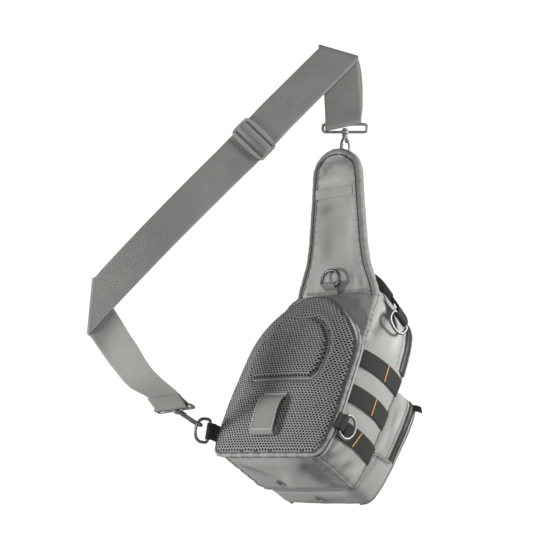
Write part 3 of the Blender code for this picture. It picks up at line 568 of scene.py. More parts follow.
def ring_of(section):
    """A rounded four-sided ring whose sides swell outwards."""
    corners = [
        Vector((-section.half_rear, section.y_rear)), Vector((section.half_rear, section.y_rear)),
        Vector((section.half_front, section.y_front)), Vector((-section.half_front, section.y_front)),
    ]
    bulges = [section.rear_bulge, section.side_bulge, section.front_bulge, section.side_bulge]
    sides = []
    for k in range(4):
        start, end = corners[k], corners[(k + 1) % 4]
        along = end - start
        outward = Vector((along.y, -along.x)).normalized()
        trim = section.corner / along.length
        count = SIDE_POINTS if k % 2 else FACE_POINTS
        row = []
        for i in range(count):
            t = trim + (1 - 2 * trim) * i / (count - 1)
            row.append(start + along * t + outward * (bulges[k] * (1 - (2 * t - 1) ** 2)))
        sides.append(row)
    ring = []
    for k in range(4):
        ring += sides[k]
        last, first, corner = sides[k][-1], sides[(k + 1) % 4][0], corners[(k + 1) % 4]
        for j in range(1, CORNER_POINTS + 1):
            t = j / (CORNER_POINTS + 1)
            ring.append(last * (1 - t) ** 2 + corner * 2 * t * (1 - t) + first * t**2)
    return np.array([(point.x, point.y, section.z) for point in ring])


def side_x(y, z):
    section = mixed(BODY, z)
    t = (y - section.y_rear) / (section.y_front - section.y_rear)
    flat = section.half_rear + (section.half_front - section.half_rear) * t
    return flat + section.side_bulge * (1 - (2 * t - 1) ** 2)


def panel_y(x, z):
    row = mixed(PANEL, z)
    return 1.0 - row.crown * (1 - min(1, abs(x - row.mid) / 100) ** 3)


def lofted_skin(rows, step, shrink_low, shrink_high):
    """Rings up the form, closed at both ends by rings that shrink to the middle."""
    count = int(round((rows[-1].z - rows[0].z) / step))
    rings = [ring_of(mixed(rows, z)) for z in np.linspace(rows[0].z, rows[-1].z, count + 1)]
    foot, top = rings[0].mean(0), rings[-1].mean(0)
    low = [foot + (rings[0] - foot) * t for t in np.linspace(0.02, 1, shrink_low)[:-1]]
    high = [top + (rings[-1] - top) * t for t in np.linspace(1, 0.02, shrink_high)[1:]]
    return np.array(low + rings + high)


def skin_normals(points):
    around = np.roll(points, -1, 1) - np.roll(points, 1, 1)
    up = np.gradient(points, axis=0)
    normals = unit(np.cross(around, up))
    centre = points.mean((0, 1))
    return normals if ((points - centre) * normals).sum() > 0 else -normals


def distance_to(points, start, end):
    """(distance, share) of each point from a segment."""
    start, end = np.asarray(start, float), np.asarray(end, float)
    run = end - start
    share = np.clip(((points - start) @ run) / (run @ run), 0, 1)
    return np.linalg.norm(points - start - share[..., None] * run, axis=-1), share


Fold = namedtuple("Fold", "start end width height")


FOLD_DEPTH = 1.5


def folds(points, table):
    """Ridges (height over 0) and valleys (under 0) that fade out at both ends."""
    found = np.zeros(points.shape[:-1])
    for fold in table:
        distance, share = distance_to(points, fold.start, fold.end)
        faded = np.sin(pi * np.clip(share, 0.04, 0.96)) ** 0.5
        found += FOLD_DEPTH * fold.height * np.exp(-(distance / fold.width) ** 2) * faded
    return found


def wave_of(points, scale, seed=0.0):
    """Smooth noise, about -1 to 1, at each point. The scale is (x, y, z) waves per mm."""
    flat = points.reshape(-1, 3) * np.asarray(scale, float) + seed
    return np.array([noise.noise(Vector(point)) for point in flat]).reshape(points.shape[:-1]) * 1.6


def seam_valley(points, path, width, depth, pucker, pitch):
    """A valley along a path, and small puckers that run into it from both sides."""
    path = np.asarray(path, float)
    s = lengths(path)
    nearest = np.full(points.shape[:-1], 1e9)
    at = np.zeros(points.shape[:-1])
    for i in range(len(path) - 1):
        distance, share = distance_to(points, path[i], path[i + 1])
        closer = distance < nearest
        nearest = np.where(closer, distance, nearest)
        at = np.where(closer, s[i] + share * (s[i + 1] - s[i]), at)
    valley = -depth * np.exp(-(nearest / width) ** 2)
    turn = at * 2 * pi / pitch
    gathers = np.sin(turn + 1.7 * np.sin(at / 17.0)) + 0.6 * np.sin(turn / 1.7 + 1)
    return valley + pucker * gathers * np.exp(-((nearest - width) / (width * 2.2)) ** 2)


DEEPEST, HIGHEST = -4.0, 1.5


def skin_piece(name, points, height, waves, finish, replaces):
    """A closed skin pushed out or in along its normals by its folds and its waves, in mm."""
    moved = points + skin_normals(points) * np.clip(height + waves, DEEPEST, HIGHEST)[..., None]
    # The height of the folds and seams also paints the cloth: painted shade in valleys, painted highlight
    # on ridges.
    build = Build().tube(moved, cap=True, relief_shading=np.clip(height / 2.0, -1, 1))
    return build.piece(name, BAG, finish, replaces=replaces, box_cloth=True, smooth=60), moved


def tree_of(points):
    """A search tree over a closed skin, in the bag's frame."""
    rows, columns = points.shape[:2]
    faces = []
    for r in range(rows - 1):
        for c in range(columns):
            n = (c + 1) % columns
            faces.append((r * columns + c, r * columns + n, (r + 1) * columns + n, (r + 1) * columns + c))
    return BVHTree.FromPolygons([Vector(p) for p in points.reshape(-1, 3)], faces)


def laid(tree, path, lift=0.0):
    """The path pressed onto the skin, and the skin's normals there."""
    points, normals = [], []
    for point in path:
        hit, normal, _, _ = tree.find_nearest(Vector(point))
        points.append(hit)
        normals.append(normal)
    normals = np.array(normals)
    if len(normals) > 6:
        kernel = np.array([1, 2, 3, 2, 1]) / 9
        padded = np.pad(normals, ((2, 2), (0, 0)), "edge")
        normals = unit(np.stack([np.convolve(padded[:, k], kernel, "valid") for k in range(3)], 1))
    return np.array(points) + normals * lift, normals


def outward(tree, centre, directions):
    """Where rays from the centre leave the skin."""
    found = []
    for direction in directions:
        hit, _, _, _ = tree.ray_cast(Vector(centre), Vector(direction))
        found.append(hit)
    return np.array(found)


# The main compartment.

def build_body():
    points = lofted_skin(BODY, 3.6, 14, 8)
    side_folds = [
        Fold((96, 14, 8), (98, 34, 46), 5, 0.7),
        Fold((90, 13, 2), (96, 40, 6), 8, -1.5),
        Fold((95, 13, -4), (98, 26, 40), 3.6, -2.0),
        Fold((94, 24, -5), (98, 38, 30), 2.6, 1.0),
        Fold((94, 30, -5), (98, 46, 24), 3.4, -2.0),
        Fold((93, 40, -6), (97, 56, 20), 3.2, 0.9),
        Fold((95, 16, 30), (98, 40, 34), 4, -1.2),
        Fold((92, 54, -4), (98, 70, 18), 5, -1.6),
        Fold((92, 72, -2), (96, 88, 22), 4.5, 0.9),
        Fold((94, 20, 60), (92, 14, 112), 4, -0.6),
        Fold((88, 26, 180), (84, 40, 232), 6, -1.2),
        Fold((86, 18, 176), (80, 26, 226), 4, 1.0),
        Fold((84, 30, 196), (78, 34, 238), 3.5, 1.1),
        Fold((96, 60, 178), (88, 64, 220), 8, 0.9),
    ]
    mirrored = [Fold((-a[0], a[1], a[2] + 3), (-b[0], b[1], b[2] - 2), width, height * 0.9)
                for a, b, width, height in side_folds]
    rest = [
        Fold((56, 14, -9), (60, 100, -9), 17, -1.9),
        Fold((68, 12, -8), (72, 66, -8), 9, -1.3),
        Fold((76, 40, -7), (80, 92, -7), 4, 0.9),
        Fold((60, 30, -9), (20, 60, -9), 6, -0.6),
        Fold((-70, 24, -9), (-30, 60, -9), 7, -0.9),
        Fold((74, 60, -8), (44, 88, -9), 5, 0.8),
        Fold((10, 40, -9), (-20, 90, -9), 9, 0.7),
        Fold((60, 12, 222), (82, 18, 188), 4, 1.1),
        Fold((48, 12, 234), (72, 14, 206), 3.5, -1.2),
        Fold((66, 22, 246), (78, 22, 214), 3, -1.2),
        Fold((-60, 14, 230), (-80, 18, 196), 5, 1.0),
        Fold((-50, 14, 240), (-70, 16, 214), 4, -1.0),
        Fold((20, 20, 248), (58, 22, 246), 4, -0.9),
        Fold((-40, 70, 262), (30, 66, 266), 7, -0.8),
    ]
    # Besides their dips, the broad valleys along the bottom's right and the side's foot darken the cloth
    # there with painted shade.
    height = folds(points, side_folds + mirrored + rest)
    waves = 0.4 * wave_of(points, (0.016, 0.02, 0.016)) + 0.25 * wave_of(points, (0.05, 0.06, 0.045), 40)
    for side in (1, -1):
        foot = [(side * side_x(y, -2), y, -4) for y in np.linspace(14, 98, 12)]
        rear = [(side * side_x(16, z), 15, z) for z in np.linspace(0, 190, 20)]
        front = [(side * side_x(97, z), 98, z) for z in np.linspace(0, 235, 24)]
        for seam, width, depth, pucker, pitch in (
            (foot, 3.0, 0.5, 0.35, 13), (rear, 3.5, 0.2, 0.35, 17), (front, 2.5, 0.4, 0.25, 15),
        ):
            height += seam_valley(points, seam, width, depth, pucker, pitch)
    return skin_piece("body_shell", points, height, waves, FABRIC, ("main_body",))[1]


def build_pocket():
    points = lofted_skin(POCKET, 3.4, 10, 8)
    table = [
        Fold((86, 104, 8), (92, 112, 58), 4, -0.7),
        Fold((88, 108, 62), (92, 120, 120), 5, 0.6),
        Fold((90, 118, 60), (92, 106, 130), 4, -0.6),
        Fold((60, 100, 149), (90, 120, 146), 5, 0.8),
        Fold((40, 146, 140), (80, 146, 60), 9, -0.9),
        Fold((-60, 146, 120), (-20, 148, 40), 10, -1.0),
        Fold((-84, 120, 20), (-90, 112, 90), 5, 0.7),
        Fold((60, 120, -7), (-30, 130, -7), 6, -0.8),
        Fold((20, 146, 20), (-50, 146, 14), 7, 0.8),
    ]
    height = folds(points, table)
    waves = 0.6 * wave_of(points, (0.018, 0.025, 0.018), 9) + 0.3 * wave_of(points, (0.06, 0.06, 0.05), 70)
    for side in (1, -1):
        seam = [(side * 90, y, 50 + (y - 103) * 0.14) for y in (103, 110, 118, 126, 134)]
        height += seam_valley(points, seam, 2.2, 0.7, 0.3, 8)
    return skin_piece("pocket_shell", points, height, waves, FABRIC, ("front_pocket",))[1]


def welt_on(build, tree, line, lift, profile, waves=(), painted_shading=1.8):
    """A welt pressed onto the skin, uneven along it where waves are given, and then painted darker where it
    thins and paler where it swells, as painted shade and highlight.
    """
    path, normals = laid(tree, line, lift)
    scale = uneven(np.arange(len(path)), *waves) if waves else None
    swept(build, path, normals, profile, scale=scale, relief_shading=scale * 2 - painted_shading if waves else None)


STITCH_LIFT = 0.25
COIL_PITCH, COIL_APART = 2.4, 0.95


def sew_on(build, tree, line, **stitches):
    """Stitches along a line pressed onto the skin."""
    path, normals = laid(tree, line, STITCH_LIFT)
    stitched(build, path, normals, **stitches)


POCKET_EDGE = [
    (62, 137, -6), (74, 142, 2), (82, 144, 20), (87, 145, 50), (90, 146, 90), (90, 146, 120),
    (88, 144, 138),
]


def side_trim(tree, pocket_tree):
    """Bindings, seams and stitches that run along the main compartment and the pocket."""
    welt, sewn = Build(), Build()
    heights = (-3, 4, 24, 60, 110, 150)
    for side in (1, -1):
        front = curved([(side * (side_x(99, z) + 1), 100.5, z) for z in (*heights, 190, 216)], 3)
        welt_on(welt, tree, front, 0.9, round_profile(2.3, 1.5), ((0.10, 1.3), (0.06, 0.47)))
        inner = curved([(side * (side_x(94, z) + 1), 94.5, z) for z in (*heights, 176)], 3)
        sew_on(sewn, tree, inner)

        foot = curved([(side * (side_x(y, 0) - 1.5), y, -6.5) for y in (14, 30, 56, 80, 97)], 3)
        welt_on(welt, tree, foot, 0.5, round_profile(1.9, 1.1), ((0.14, 1.1),), 1.9)
        for shift in (5.0, 8.6):
            row = [(side * (side_x(y, 0) - 1.5 - shift), y, -9) for y in (16, 30, 56, 80, 95)]
            sew_on(sewn, tree, curved(row, 3))

        seam = curved([(side * 91, y, 50.5 + (y - 103) * 0.14) for y in (101, 108, 116, 124, 134)], 2)
        welt_on(welt, pocket_tree, seam, 0.3, round_profile(1.6, 0.8))
        for shift in (2.6, -3.2):
            sew_on(sewn, pocket_tree, seam + (0, 0, shift), stitch=2.2, gap=0.9)

        edge = curved([(side * x, y, z) for x, y, z in POCKET_EDGE], 3)
        welt_on(welt, pocket_tree, edge, 0.7, round_profile(1.9, 1.2))
    bottom = curved([(x, 97, -7) for x in (-78, -60, -20, 20, 60, 78)], 3)
    welt_on(welt, tree, bottom, 0.4, round_profile(2.2, 1.2))
    sew_on(sewn, tree, bottom - (0, 5, 2))
    welt.piece("welts", BAG, BINDING)
    sewn.piece("topstitching", BAG, THREAD)


def zip_path(tree, centre, depth, foot, spread):
    """The line on the skin at one depth, from the foot on the right, over the top, to the left."""
    directions = [(cos(a), 0, sin(a)) for a in np.linspace(radians(-spread), pi + radians(spread), 240)]
    path = outward(tree, (0, depth, centre), directions)
    path = path[path[:, 2] > foot]
    return resampled(path, 1.2)


def build_zip(name, tree, centre, depth, foot, width, spread, replaces):
    """A closed zip: its tape, its two rows of coil, its cloth lips and their stitches."""
    path, normals = laid(tree, zip_path(tree, centre, depth, foot, spread))
    normals = unit(normals * (1, 0.35, 1))
    side = unit(np.cross(tangents(path), normals))
    tape, coil, lips, sewn = Build(), Build(), Build(), Build()
    swept(tape, path + normals * 0.35, normals, strip_profile(width, 0.8))
    tape.piece(name + "_tape", BAG, ZIP_TAPE, replaces=replaces)
    pulse = 1 + 0.28 * np.cos(lengths(path) * 2 * pi / COIL_PITCH)
    for offset in (-COIL_APART, COIL_APART):
        swept(coil, path + normals + side * offset, normals, round_profile(COIL_APART, 0.8, 8), scale=pulse)
    coil.piece(name + "_coil", BAG, COIL)
    for hand in (-1, 1):
        lip = path + side * hand * (width / 2 + 0.3) + normals * 0.45
        # The lips are painted paler all along: a painted highlight on their raised edges.
        swept(lips, lip, normals, round_profile(1.0, 0.9, 8), relief_shading=np.full(len(lip), 0.4))
        sew_on(sewn, tree, path + side * hand * (width / 2 + 3.0))
    lips.piece(name + "_lips", BAG, FABRIC)
    sewn.piece(name + "_stitches", BAG, THREAD)


# The back panel.

OUTLINE_STEP = 2.0


def panel_outline():
    """The panel's edge as (x, z), from the middle of its foot up the right side and back down."""
    z = np.concatenate([np.linspace(-6, 10, 12), np.linspace(14, 190, 60), np.linspace(192, 226, 40)])
    rows = [mixed(PANEL, value) for value in z]
    right = [(row.mid + row.half, row.z) for row in rows]
    left = [(row.mid - row.half, row.z) for row in rows][::-1]
    return resampled(np.array([(3, -6)] + right + left), OUTLINE_STEP, closed=True)


def lumbar_outline():
    """The pad's edge as (x, z): an arch with a flat foot."""
    foot, top, half = 96, 189, 62
    arch = [(half * cos(a), foot + 36 + (top - foot - 36) * sin(a)) for a in np.linspace(0, pi, 40)]
    left = [(-61, 116), (-58.5, 103), (-55, 98), (-50, foot)]
    outline = arch + left + [(x, foot) for x in (-25, 0, 25)] + [(-x, z) for x, z in left[::-1]]
    return resampled(np.array([(LUMBAR_X + x, z) for x, z in outline]), OUTLINE_STEP, closed=True)


def edge_distance(points, outline):
    """Each point's distance to a closed outline, over 0 inside it."""
    ends = np.roll(outline, -1, 0)
    best = np.full(len(points), 1e9)
    inside = np.zeros(len(points), bool)
    for a, b in zip(outline, ends):
        distance, _ = distance_to(points, a, b)
        best = np.minimum(best, distance)
        crosses = (a[1] > points[:, 1]) != (b[1] > points[:, 1])
        if crosses.any():
            x = a[0] + (points[:, 1] - a[1]) / (b[1] - a[1] if b[1] != a[1] else 1e-9) * (b[0] - a[0])
            inside ^= crosses & (points[:, 0] < x)
    return np.where(inside, best, -best)


PANEL_EDGE, LUMBAR_EDGE = panel_outline(), lumbar_outline()
EDGE_ROUND, EDGE_DROP = 9.0, 5.6
PAD_ROUND, PAD_STEP, PAD_RISE = 8, 0.4, 6.2
NET_LEFT, NET_FOOT, NET_WIDTH, NET_HEIGHT = -115, -8, 230, 250
HOLE_PITCH_X, HOLE_PITCH_Z = 5.2, 3.35
HOLE_HALF_X, HOLE_HALF_Z = 2.15, 1.62
RIM_SHARES, RIM_SINKS = (1.0, 0.9, 0.7), (0.0, 0.35, 1.7)
HOLE_POINTS = 6 * len(RIM_SHARES)
BRIDGES = ((5, 3, 2, 0), (0, 4, 3, 1), (1, 5, 4, 2))
FILLS = ((0, 2, 4), (1, 3, 5))


def panel_depth(xz):
    """The panel's outer face at (x, z) points: crowned, rounded at its edge and pillowed by its seams."""
    xz = np.asarray(xz, float)
    base = np.array([panel_y(x, z) for x, z in xz])
    rim = np.clip(edge_distance(xz, PANEL_EDGE) / EDGE_ROUND, 0, 1)
    base += EDGE_DROP * (1 - rim) ** 2
    pad = edge_distance(xz, LUMBAR_EDGE)
    rise = np.clip(pad / PAD_ROUND, 0, 1)
    base -= np.where(pad > 0, PAD_STEP + PAD_RISE * (1 - (1 - rise) ** 2.4), 0)
    base += 1.7 * np.exp(-(np.minimum(pad, 0) / 3.5) ** 2) * (pad <= 0)
    base -= 1.6 * np.exp(-((pad + 9) / 5.0) ** 2) * (pad <= 0)
    return base


def net(keep):
    """A net of six-sided holes over the (x, z) places that keep() allows, with sunk hole floors; the holes'
    inner walls and floors are painted near-black as the shade in them.
    """
    rows, columns = int(NET_HEIGHT / HOLE_PITCH_Z), int(NET_WIDTH / HOLE_PITCH_X)
    centres, grid = [], {}
    for r in range(rows):
        for c in range(columns):
            grid[(r, c)] = len(centres)
            x = NET_LEFT + (c + 0.5 * (r % 2)) * HOLE_PITCH_X
            centres.append((x, NET_FOOT + r * HOLE_PITCH_Z))
    centres = np.array(centres)
    centres += 0.16 * np.stack([np.sin(centres[:, 1] * 0.31), np.cos(centres[:, 0] * 0.23)], 1)
    used = keep(centres)
    angles = pi / 6 + pi / 3 * np.arange(6)
    rim = np.stack([HOLE_HALF_X * np.cos(angles), HOLE_HALF_Z * np.sin(angles)], 1)
    kept = np.flatnonzero(used)
    places = np.concatenate([centres[kept][:, None] + rim * s for s in RIM_SHARES], 1)
    depth = panel_depth(places.reshape(-1, 2)).reshape(len(kept), HOLE_POINTS)
    sink = np.repeat(RIM_SINKS, 6)
    points = np.stack([places[..., 0], depth + sink, places[..., 1]], -1)
    where = {k: i for i, k in enumerate(kept)}
    faces, slots = [], []
    for i in range(len(kept)):
        base = HOLE_POINTS * i
        for k in range(6):
            n = (k + 1) % 6
            faces.append((base + k, base + n, base + 6 + n, base + 6 + k))
            faces.append((base + 6 + k, base + 6 + n, base + 12 + n, base + 12 + k))
            # The inner ring of each hole's wall takes the painted shade.
            slots += [0, 1]
        faces.append(tuple(base + 12 + k for k in range(6)))
        slots.append(1)
    for (r, c), k in grid.items():
        if not used[k]:
            continue
        odd = r % 2
        near = {0: (r, c + 1), 1: (r + 1, c + odd), 2: (r + 1, c - 1 + odd)}
        a = HOLE_POINTS * where[k]
        linked = {}
        for side, key in near.items():
            other = grid.get(key)
            if other is not None and used[other]:
                linked[side] = HOLE_POINTS * where[other]
        for way, (own, theirs, next_theirs, next_own) in enumerate(BRIDGES):
            if way in linked:
                b = linked[way]
                faces.append((a + own, b + theirs, b + next_theirs, a + next_own))
                slots.append(0)
        for way, theirs, further in FILLS:
            if way in linked and way + 1 in linked:
                faces.append((a + way, linked[way] + theirs, linked[way + 1] + further))
                slots.append(0)
    return points.reshape(-1, 3), faces, slots


def on_panel(places):
    return (edge_distance(places, PANEL_EDGE) > 1.2) & (edge_distance(places, LUMBAR_EDGE) < -0.6)


def on_pad(places):
    return edge_distance(places, LUMBAR_EDGE) > 0.6


def build_panel():
    for name, keep, replaced in (
        ("panel_net", on_panel, "mesh_panel"), ("lumbar_net", on_pad, "lumbar_pad"),
    ):
        # The holes' walls and floors carry painted shade.
        build = Build().raw(*net(keep))
        piece = build.piece(name, BAG, [NET, NET_HOLE_SHADE], replaces=(replaced,), box_cloth=True, smooth=50)

    edge = PANEL_EDGE
    inward = unit(np.stack([-np.gradient(edge[:, 1]), np.gradient(edge[:, 0])], 1))
    if (edge_distance(edge + inward * 2, edge) < 0).mean() > 0.5:
        inward = -inward

    def rim(inset, depth=None, lift=0.0):
        """A ring inset from the panel's edge, at a depth or on the panel's face."""
        ring = edge + inward * inset
        depth = panel_depth(ring) + lift if depth is None else np.full(len(ring), depth)
        return np.stack([ring[:, 0], depth, ring[:, 1]], 1)

    walls = [rim(inset, depth, 0.7) for inset, depth in (
        (2.6, None), (0.8, None), (0.0, 7.6), (0.0, 12.0), (1.2, 17.0), (14, 24.0))]
    wall = Build().tube(np.array(walls))
    foam, middle = edge + inward * 3.0, (3, 105)
    floors = []
    for t in np.linspace(1, 0.02, 26):
        ring = middle + (foam - middle) * t
        floors.append(np.stack([ring[:, 0], panel_depth(ring) + (1.2 if t == 1 else 2.4), ring[:, 1]], 1))
    wall.tube(np.array(floors), slot=1)
    wall.piece("panel_wall", BAG, [FABRIC, FOAM], box_cloth=True)

    normals = np.stack([-inward[:, 0] * 0.55, np.full(len(edge), -0.83), -inward[:, 1] * 0.55], 1)
    s = lengths(rim(1.6, lift=-0.4), True)[:-1]
    bound = uneven(s, (0.07, 0.8), (0.05, 0.31))
    ridged = uneven(s, (0.07, 0.62), (0.08, 0.27, 1))
    # The ridge carries painted shade where it thins; the dark tube under the edge is painted shadow in the
    # gap beside the side panel.
    for name, path, profile, scale, relief_shading, finish in (
        ("panel_binding", rim(1.6, lift=-0.4), strip_profile(3.2, 2.0, 7), bound, None, DARK_BINDING_AND_GAP_SHADE),
        ("panel_ridge", rim(-0.4, 6.6), round_profile(2.5, 1.8, 12), ridged, ridged * 2 - 2.1, FABRIC),
        ("panel_shadow_gap", rim(0.6, 10.8), round_profile(1.9, 1.6, 8), None, None, DARK_BINDING_AND_GAP_SHADE),
    ):
        seam = swept(Build(), path, normals, profile, closed=True, scale=scale, relief_shading=relief_shading)
        seam.piece(name, BAG, finish)

    path = np.array([(x, panel_y(x, z) + 0.5, z) for x, z in LUMBAR_EDGE])
    groove = swept(Build(), path, (0, -1, 0), round_profile(1.4, 0.6, 8), closed=True)
    groove.piece("lumbar_groove", BAG, NET)


def build_belt_loop():
    low, high, width = 15.5, 67.0, 42.0
    profile = [
        (low + 12, 1.5), (low + 5, 1.6), (low + 1.2, 2.6), (low, 5), (low + 1.2, 7.6), (low + 6, 9),
        (42, 10), (high - 14, 9.5), (high - 5, 7.5), (high, 4.5), (high + 3, 1.8), (high + 7, 1.5),
    ]
    stations = np.array([(-1, panel_y(0, z) - lift, z) for z, lift in profile])
    path = curved(stations, 1.2)
    normals = unit(np.cross(tangents(path), (1, 0, 0)))
    band = Build()
    swept(band, path, normals, strip_profile(width, 1.9, 15))
    band.piece("belt_loop_web", BAG, LOOP_WEB, replaces=("belt_loop",))
    out = normals if normals[len(normals) // 2, 1] < 0 else -normals
    face = (path[:, 2] > low + 3) & (path[:, 1] < panel_y(0, 40) - 5)
    sewn, border = Build(), Build()
    for x in (-19.2, 19.2):
        line = path[face] + (x, 0, 0) + out[face] * 1.0
        swept(border, line, out[face], strip_profile(2.0, 1.3, 5))
        stitched(sewn, line - (np.sign(x) * 2.6, 0, 0), out[face], radius=0.3)
    order = np.flatnonzero(face)
    for end, inset in ((order[np.argmin(path[order, 2])], 1.5), (order[np.argmax(path[order, 2])], -1.5)):
        line = np.array([path[end] + out[end] * 1.0 + (x, 0, inset) for x in np.linspace(-20, 20, 12)])
        swept(border, line, out[end], strip_profile(2.0, 1.3, 5))
    border.piece("belt_loop_border", BAG, BAND_CLOTH)
    sewn.piece("belt_loop_stitches", BAG, THREAD)


# Webbing rows with their bar tacks.

Tack = namedtuple("Tack", "at tilt")
TACKS = [Tack(61, -0.06), Tack(60.5, -0.08), Tack(57, 0.22)]
TACK_SPAN = np.linspace(-ROW_WIDTH / 2 + 1.2, ROW_WIDTH / 2 - 1.2, 12)
TACK_LIFT, TACK_WIDTH = 0.85, 1.5
POCKET_ROW_TOP, POCKET_ROW_HALF = 96, 72


def bar_tack(build, path, normal):
    """A dense satin-stitched bar: a low ridge of crosswise threads."""
    path = resampled(path, 0.35)
    pulse = 1 + 0.10 * np.cos(np.arange(len(path)) * pi)
    swept(build, path, unit(np.asarray(normal, float)), round_profile(TACK_WIDTH / 2, 0.55, 8), scale=pulse)


def build_rows(pocket_tree):
    tacks = Build()
    for side, hand in ((1, "right"), (-1, "left")):
        for number, (at, tilt) in enumerate(TACKS):
            z = ROW_TOP - ROW_WIDTH / 2 - ROW_PITCH * number
            ys = np.linspace(ROW_REAR - 5, ROW_FRONT + 1, 34)
            centres, halves = [], []
            for y in ys:
                tuck = 1.1 * max(0, 1 - (y - ROW_REAR + 5) / 6) + 1.0 * max(0, 1 - (ROW_FRONT + 1 - y) / 5)
                x_low, x_high = (side_x(y, z + s * ROW_WIDTH / 2) + 1.6 - tuck for s in (-1, 1))
                centres.append((side * (x_low + x_high) / 2, y, z))
                halves.append((side * (x_high - x_low) / ROW_WIDTH, 0, 1))
            centres, halves = np.array(centres), unit(np.array(halves))
            normals = unit(np.cross(tangents(centres), halves)) * side
            normals = np.where(normals[:, :1] * side < 0, -normals, normals)
            band = swept(Build(), centres, normals, strip_profile(ROW_WIDTH, 1.5, 11))
            row = f"row_{hand}_{number + 1}"
            band.piece(row, BAG, DARK_WEB, replaces=(f"side_{row}",))
            middle = int(np.argmin(abs(ys - at)))
            line = centres[middle] + halves[middle] * TACK_SPAN[:, None] + normals[middle] * TACK_LIFT
            line[:, 1] += TACK_SPAN * tilt
            bar_tack(tacks, line, normals[middle])
    for number in range(2):
        z = POCKET_ROW_TOP - ROW_PITCH * number
        xs = np.linspace(-POCKET_ROW_HALF, POCKET_ROW_HALF, 48)
        centres = []
        for x in xs:
            hit = pocket_tree.ray_cast(Vector((x, 200, z)), Vector((0, -1, 0)))[0]
            centres.append((x, hit.y + 1.7 - max(0, 1 - (POCKET_ROW_HALF - abs(x)) / 5), z))
        centres = np.array(centres)
        band = swept(Build(), centres, (0, 1, 0), strip_profile(ROW_WIDTH, 1.5, 11))
        band.piece(f"pocket_web_{number + 1}", BAG, DARK_WEB, replaces=(f"pocket_row_{number + 1}",))
        for x in (-36, 0, 36):
            middle = centres[int(np.argmin(abs(xs - x)))]
            line = np.array([(middle[0], middle[1] + TACK_LIFT, z + along) for along in TACK_SPAN])
            bar_tack(tacks, line, (0, 1, 0))
    tacks.piece("bar_tacks", BAG, ORANGE_THREAD)


# The yoke.

def yoke_half(z):
    return mixed(YOKE, z).half


def yoke_edge():
    """The yoke's outline as (x, z), from its right foot over the tip to its left foot."""
    z = np.concatenate([np.linspace(198, 380, 70), np.linspace(381, 395, 26)])
    right = [(YOKE_X + yoke_half(v), v) for v in z]
    left = [(YOKE_X - yoke_half(v), v) for v in z][::-1]
    return resampled(np.array(right + left), OUTLINE_STEP)


CREASE_Y = 139
YOKE_FOLDS = [
    (12, 206, 14, 226, 3.0, 0.9),
    (24, 206, 24, 230, 3.0, -0.9),
    (34, 206, 32, 222, 2.6, 0.8),
    (44, 206, 40, 226, 3.2, -0.8),
    (-30, 240, -10, 300, 9, -0.7),
    (20, 250, 30, 330, 8, 0.6),
    (-28, 364, -8, 386, 4, -0.9),
    (8, 388, 30, 366, 4, -0.9),
    (-20, 392, 14, 390, 4, 0.6),
    (-36, 352, 4, 358, 6, 0.8),
    (-40, 312, 0, 322, 7, -0.6),
    (-30, 378, -20, 366, 2.4, -1.0),
    (-20, 388, -13, 374, 2.4, 1.0),
    (-8, 392, -6, 377, 2.4, -1.0),
    (4, 391, 2, 377, 2.4, 0.9),
    (16, 388, 9, 374, 2.4, -1.0),
]


